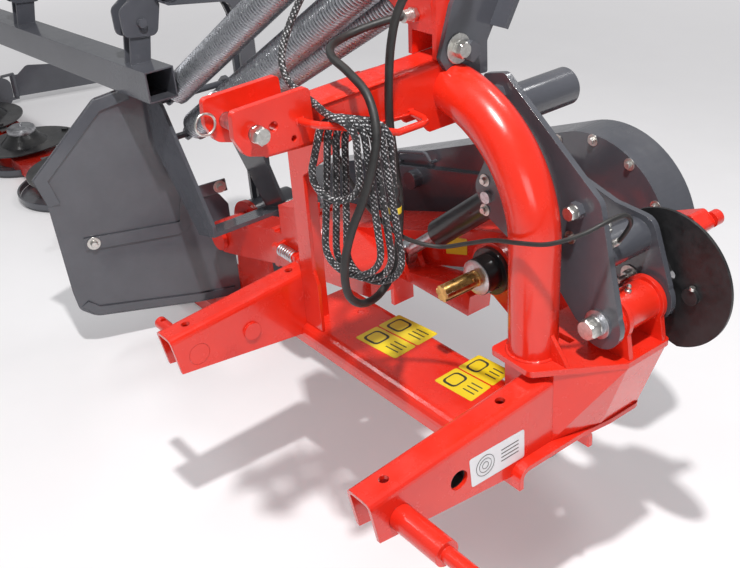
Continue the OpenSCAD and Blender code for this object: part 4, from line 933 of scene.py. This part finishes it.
def flange_spring():
    """The small zinc spring of the outer flange, wound around the solid one."""
    turns = 7
    steps = 16
    coil = []
    for i in range(turns * steps + 1):
        a = 2 * math.pi * i / steps
        coil.append(mm(-710 + 66 * i / (turns * steps), 436 + 13.4 * math.cos(a),
                       -54 + 13.4 * math.sin(a)))
    pipe("flange_spring_wire", coil, 0.0031, 10, zinc_look, "swing_arm",
         Vector((0, 1, 0.1)))


def box_sticker():
    mark = Group()
    edge = [mm(x, BOX_FACE_Y, z) for x, z in ((-238, 56), (-238, 100), (-168, 118), (-168, 78))]
    flat_piece(mark, edge, FRONT, FILM_LIFT, FILM_T, 0.004)
    mark.build("sticker_arm", sticker_look, "swing_arm")


def arm_socket():
    """A black cup deep in the hole of the left hitch arm: painted shade for the dark inside of the
    hole.
    """
    shade_cup = Group()
    shade_cup.turned([(0.0010, 0.030), (0.0188, 0.030), (0.0188, 0.0), (0.0205, 0.0),
                 (0.0205, 0.032), (0.0010, 0.032)], mm(292.4, 128, 1), (-1, 0, 0), 32)
    shade_cup.build("arm_socket_painted_shade", black_look, "headstock")


def shaft_seal():
    seal = Group()
    seal.turned([(0.0250, 0.0), (0.0360, 0.0), (0.0368, 0.0010), (0.0368, 0.0030),
                 (0.0330, 0.0045), (0.0250, 0.0045)], mm(0, 456.2, SHAFT_Z), FRONT, 40)
    seal.build("shaft_seal_ring", zinc_look, "headstock")


guard_bolts()
flange_spring()
box_sticker()
arm_socket()
shaft_seal()

# Floor and light
GROUND = -0.5
HALF = 30
MIDDLE = (-1.4, 0.5, GROUND)


def floor_look():
    """Pale floor. Far from the object the camera sees more of its own white."""
    k = Look("floor_white")
    tone = k.mix(k.span(k.noise(1.5, 5, 0.6), 0.3, 0.7), (0.925, 0.915, 0.93),
                 (0.955, 0.945, 0.96))
    gloss = k.span(k.noise(6, 5, 0.6), 0.3, 0.7, 0.50, 0.62)
    k.set(Base_Color=tone, Roughness=gloss, Normal=k.bump(k.noise(14, 3, 0.5), 0.10, 0.004))
    seen = k.new("ShaderNodeLightPath")
    glow = k.new("ShaderNodeEmission")
    glow.inputs[0].default_value = (1, 0.985, 1, 1)
    glow.inputs[1].default_value = 1.0
    far = k.new("ShaderNodeVectorMath", operation="DISTANCE")
    k.join(k.place, far.inputs[0])
    far.inputs[1].default_value = MIDDLE
    share = k.span(far.outputs["Value"], 2.6, 7.0, 0.16, 0.90)
    part = k.math("MULTIPLY", seen.outputs["Is Camera Ray"], share)
    mix = k.new("ShaderNodeMixShader")
    k.join(part, mix.inputs[0])
    k.join(k.shader.outputs[0], mix.inputs[1])
    k.join(glow.outputs[0], mix.inputs[2])
    k.join(mix.outputs[0], k.out.inputs[0])
    return k.mat


def floor():
    mesh = bpy.data.meshes.new("floor")
    mesh.from_pydata([(-HALF, -HALF, GROUND), (HALF, -HALF, GROUND), (HALF, HALF, GROUND),
                      (-HALF, HALF, GROUND)], [], [(0, 1, 2, 3)])
    obj = bpy.data.objects.new("floor", mesh)
    bpy.context.collection.objects.link(obj)
    mesh.materials.append(floor_look())


def studio_world():
    """Soft light from all around. The camera itself sees plain white."""
    world = bpy.data.worlds.new("studio")
    bpy.context.scene.world = world
    world.use_nodes = True
    tree = world.node_tree
    tree.nodes.clear()
    out = tree.nodes.new("ShaderNodeOutputWorld")
    light = tree.nodes.new("ShaderNodeBackground")
    light.inputs[0].default_value = (0.97, 0.98, 1.0, 1)
    light.inputs[1].default_value = 0.30
    seen = tree.nodes.new("ShaderNodeBackground")
    seen.inputs[0].default_value = (1, 1, 1, 1)
    seen.inputs[1].default_value = 1.0
    path = tree.nodes.new("ShaderNodeLightPath")
    mix = tree.nodes.new("ShaderNodeMixShader")
    tree.links.new(path.outputs["Is Camera Ray"], mix.inputs[0])
    tree.links.new(light.outputs[0], mix.inputs[1])
    tree.links.new(seen.outputs[0], mix.inputs[2])
    tree.links.new(mix.outputs[0], out.inputs[0])


def lamp(name, place, target, size_x, size_y, power, colour=(1, 1, 1)):
    data = bpy.data.lights.new(name, "AREA")
    data.shape = "RECTANGLE"
    data.size = size_x
    data.size_y = size_y
    data.energy = power
    data.color = colour
    obj = bpy.data.objects.new(name, data)
    bpy.context.collection.objects.link(obj)
    obj.location = place
    aim = Vector(target) - Vector(place)
    obj.rotation_euler = aim.to_track_quat("-Z", "Y").to_euler()


floor()
studio_world()
lamp("key", (1.15, -0.5, 3.6), (-0.15, 0.15, 0.0), 0.14, 0.14, 150, (1.0, 0.985, 0.97))
lamp("second", (0.2, 2.6, 3.4), (-0.2, 0.3, 0.0), 0.7, 0.7, 26)
lamp("front", (3.2, -1.6, 1.4), (0.0, 0.2, 0.2), 1.6, 1.2, 16)
lamp("strip", (-2.6, -0.6, 2.9), (-0.9, 0.4, 0.0), 2.6, 0.4, 22)
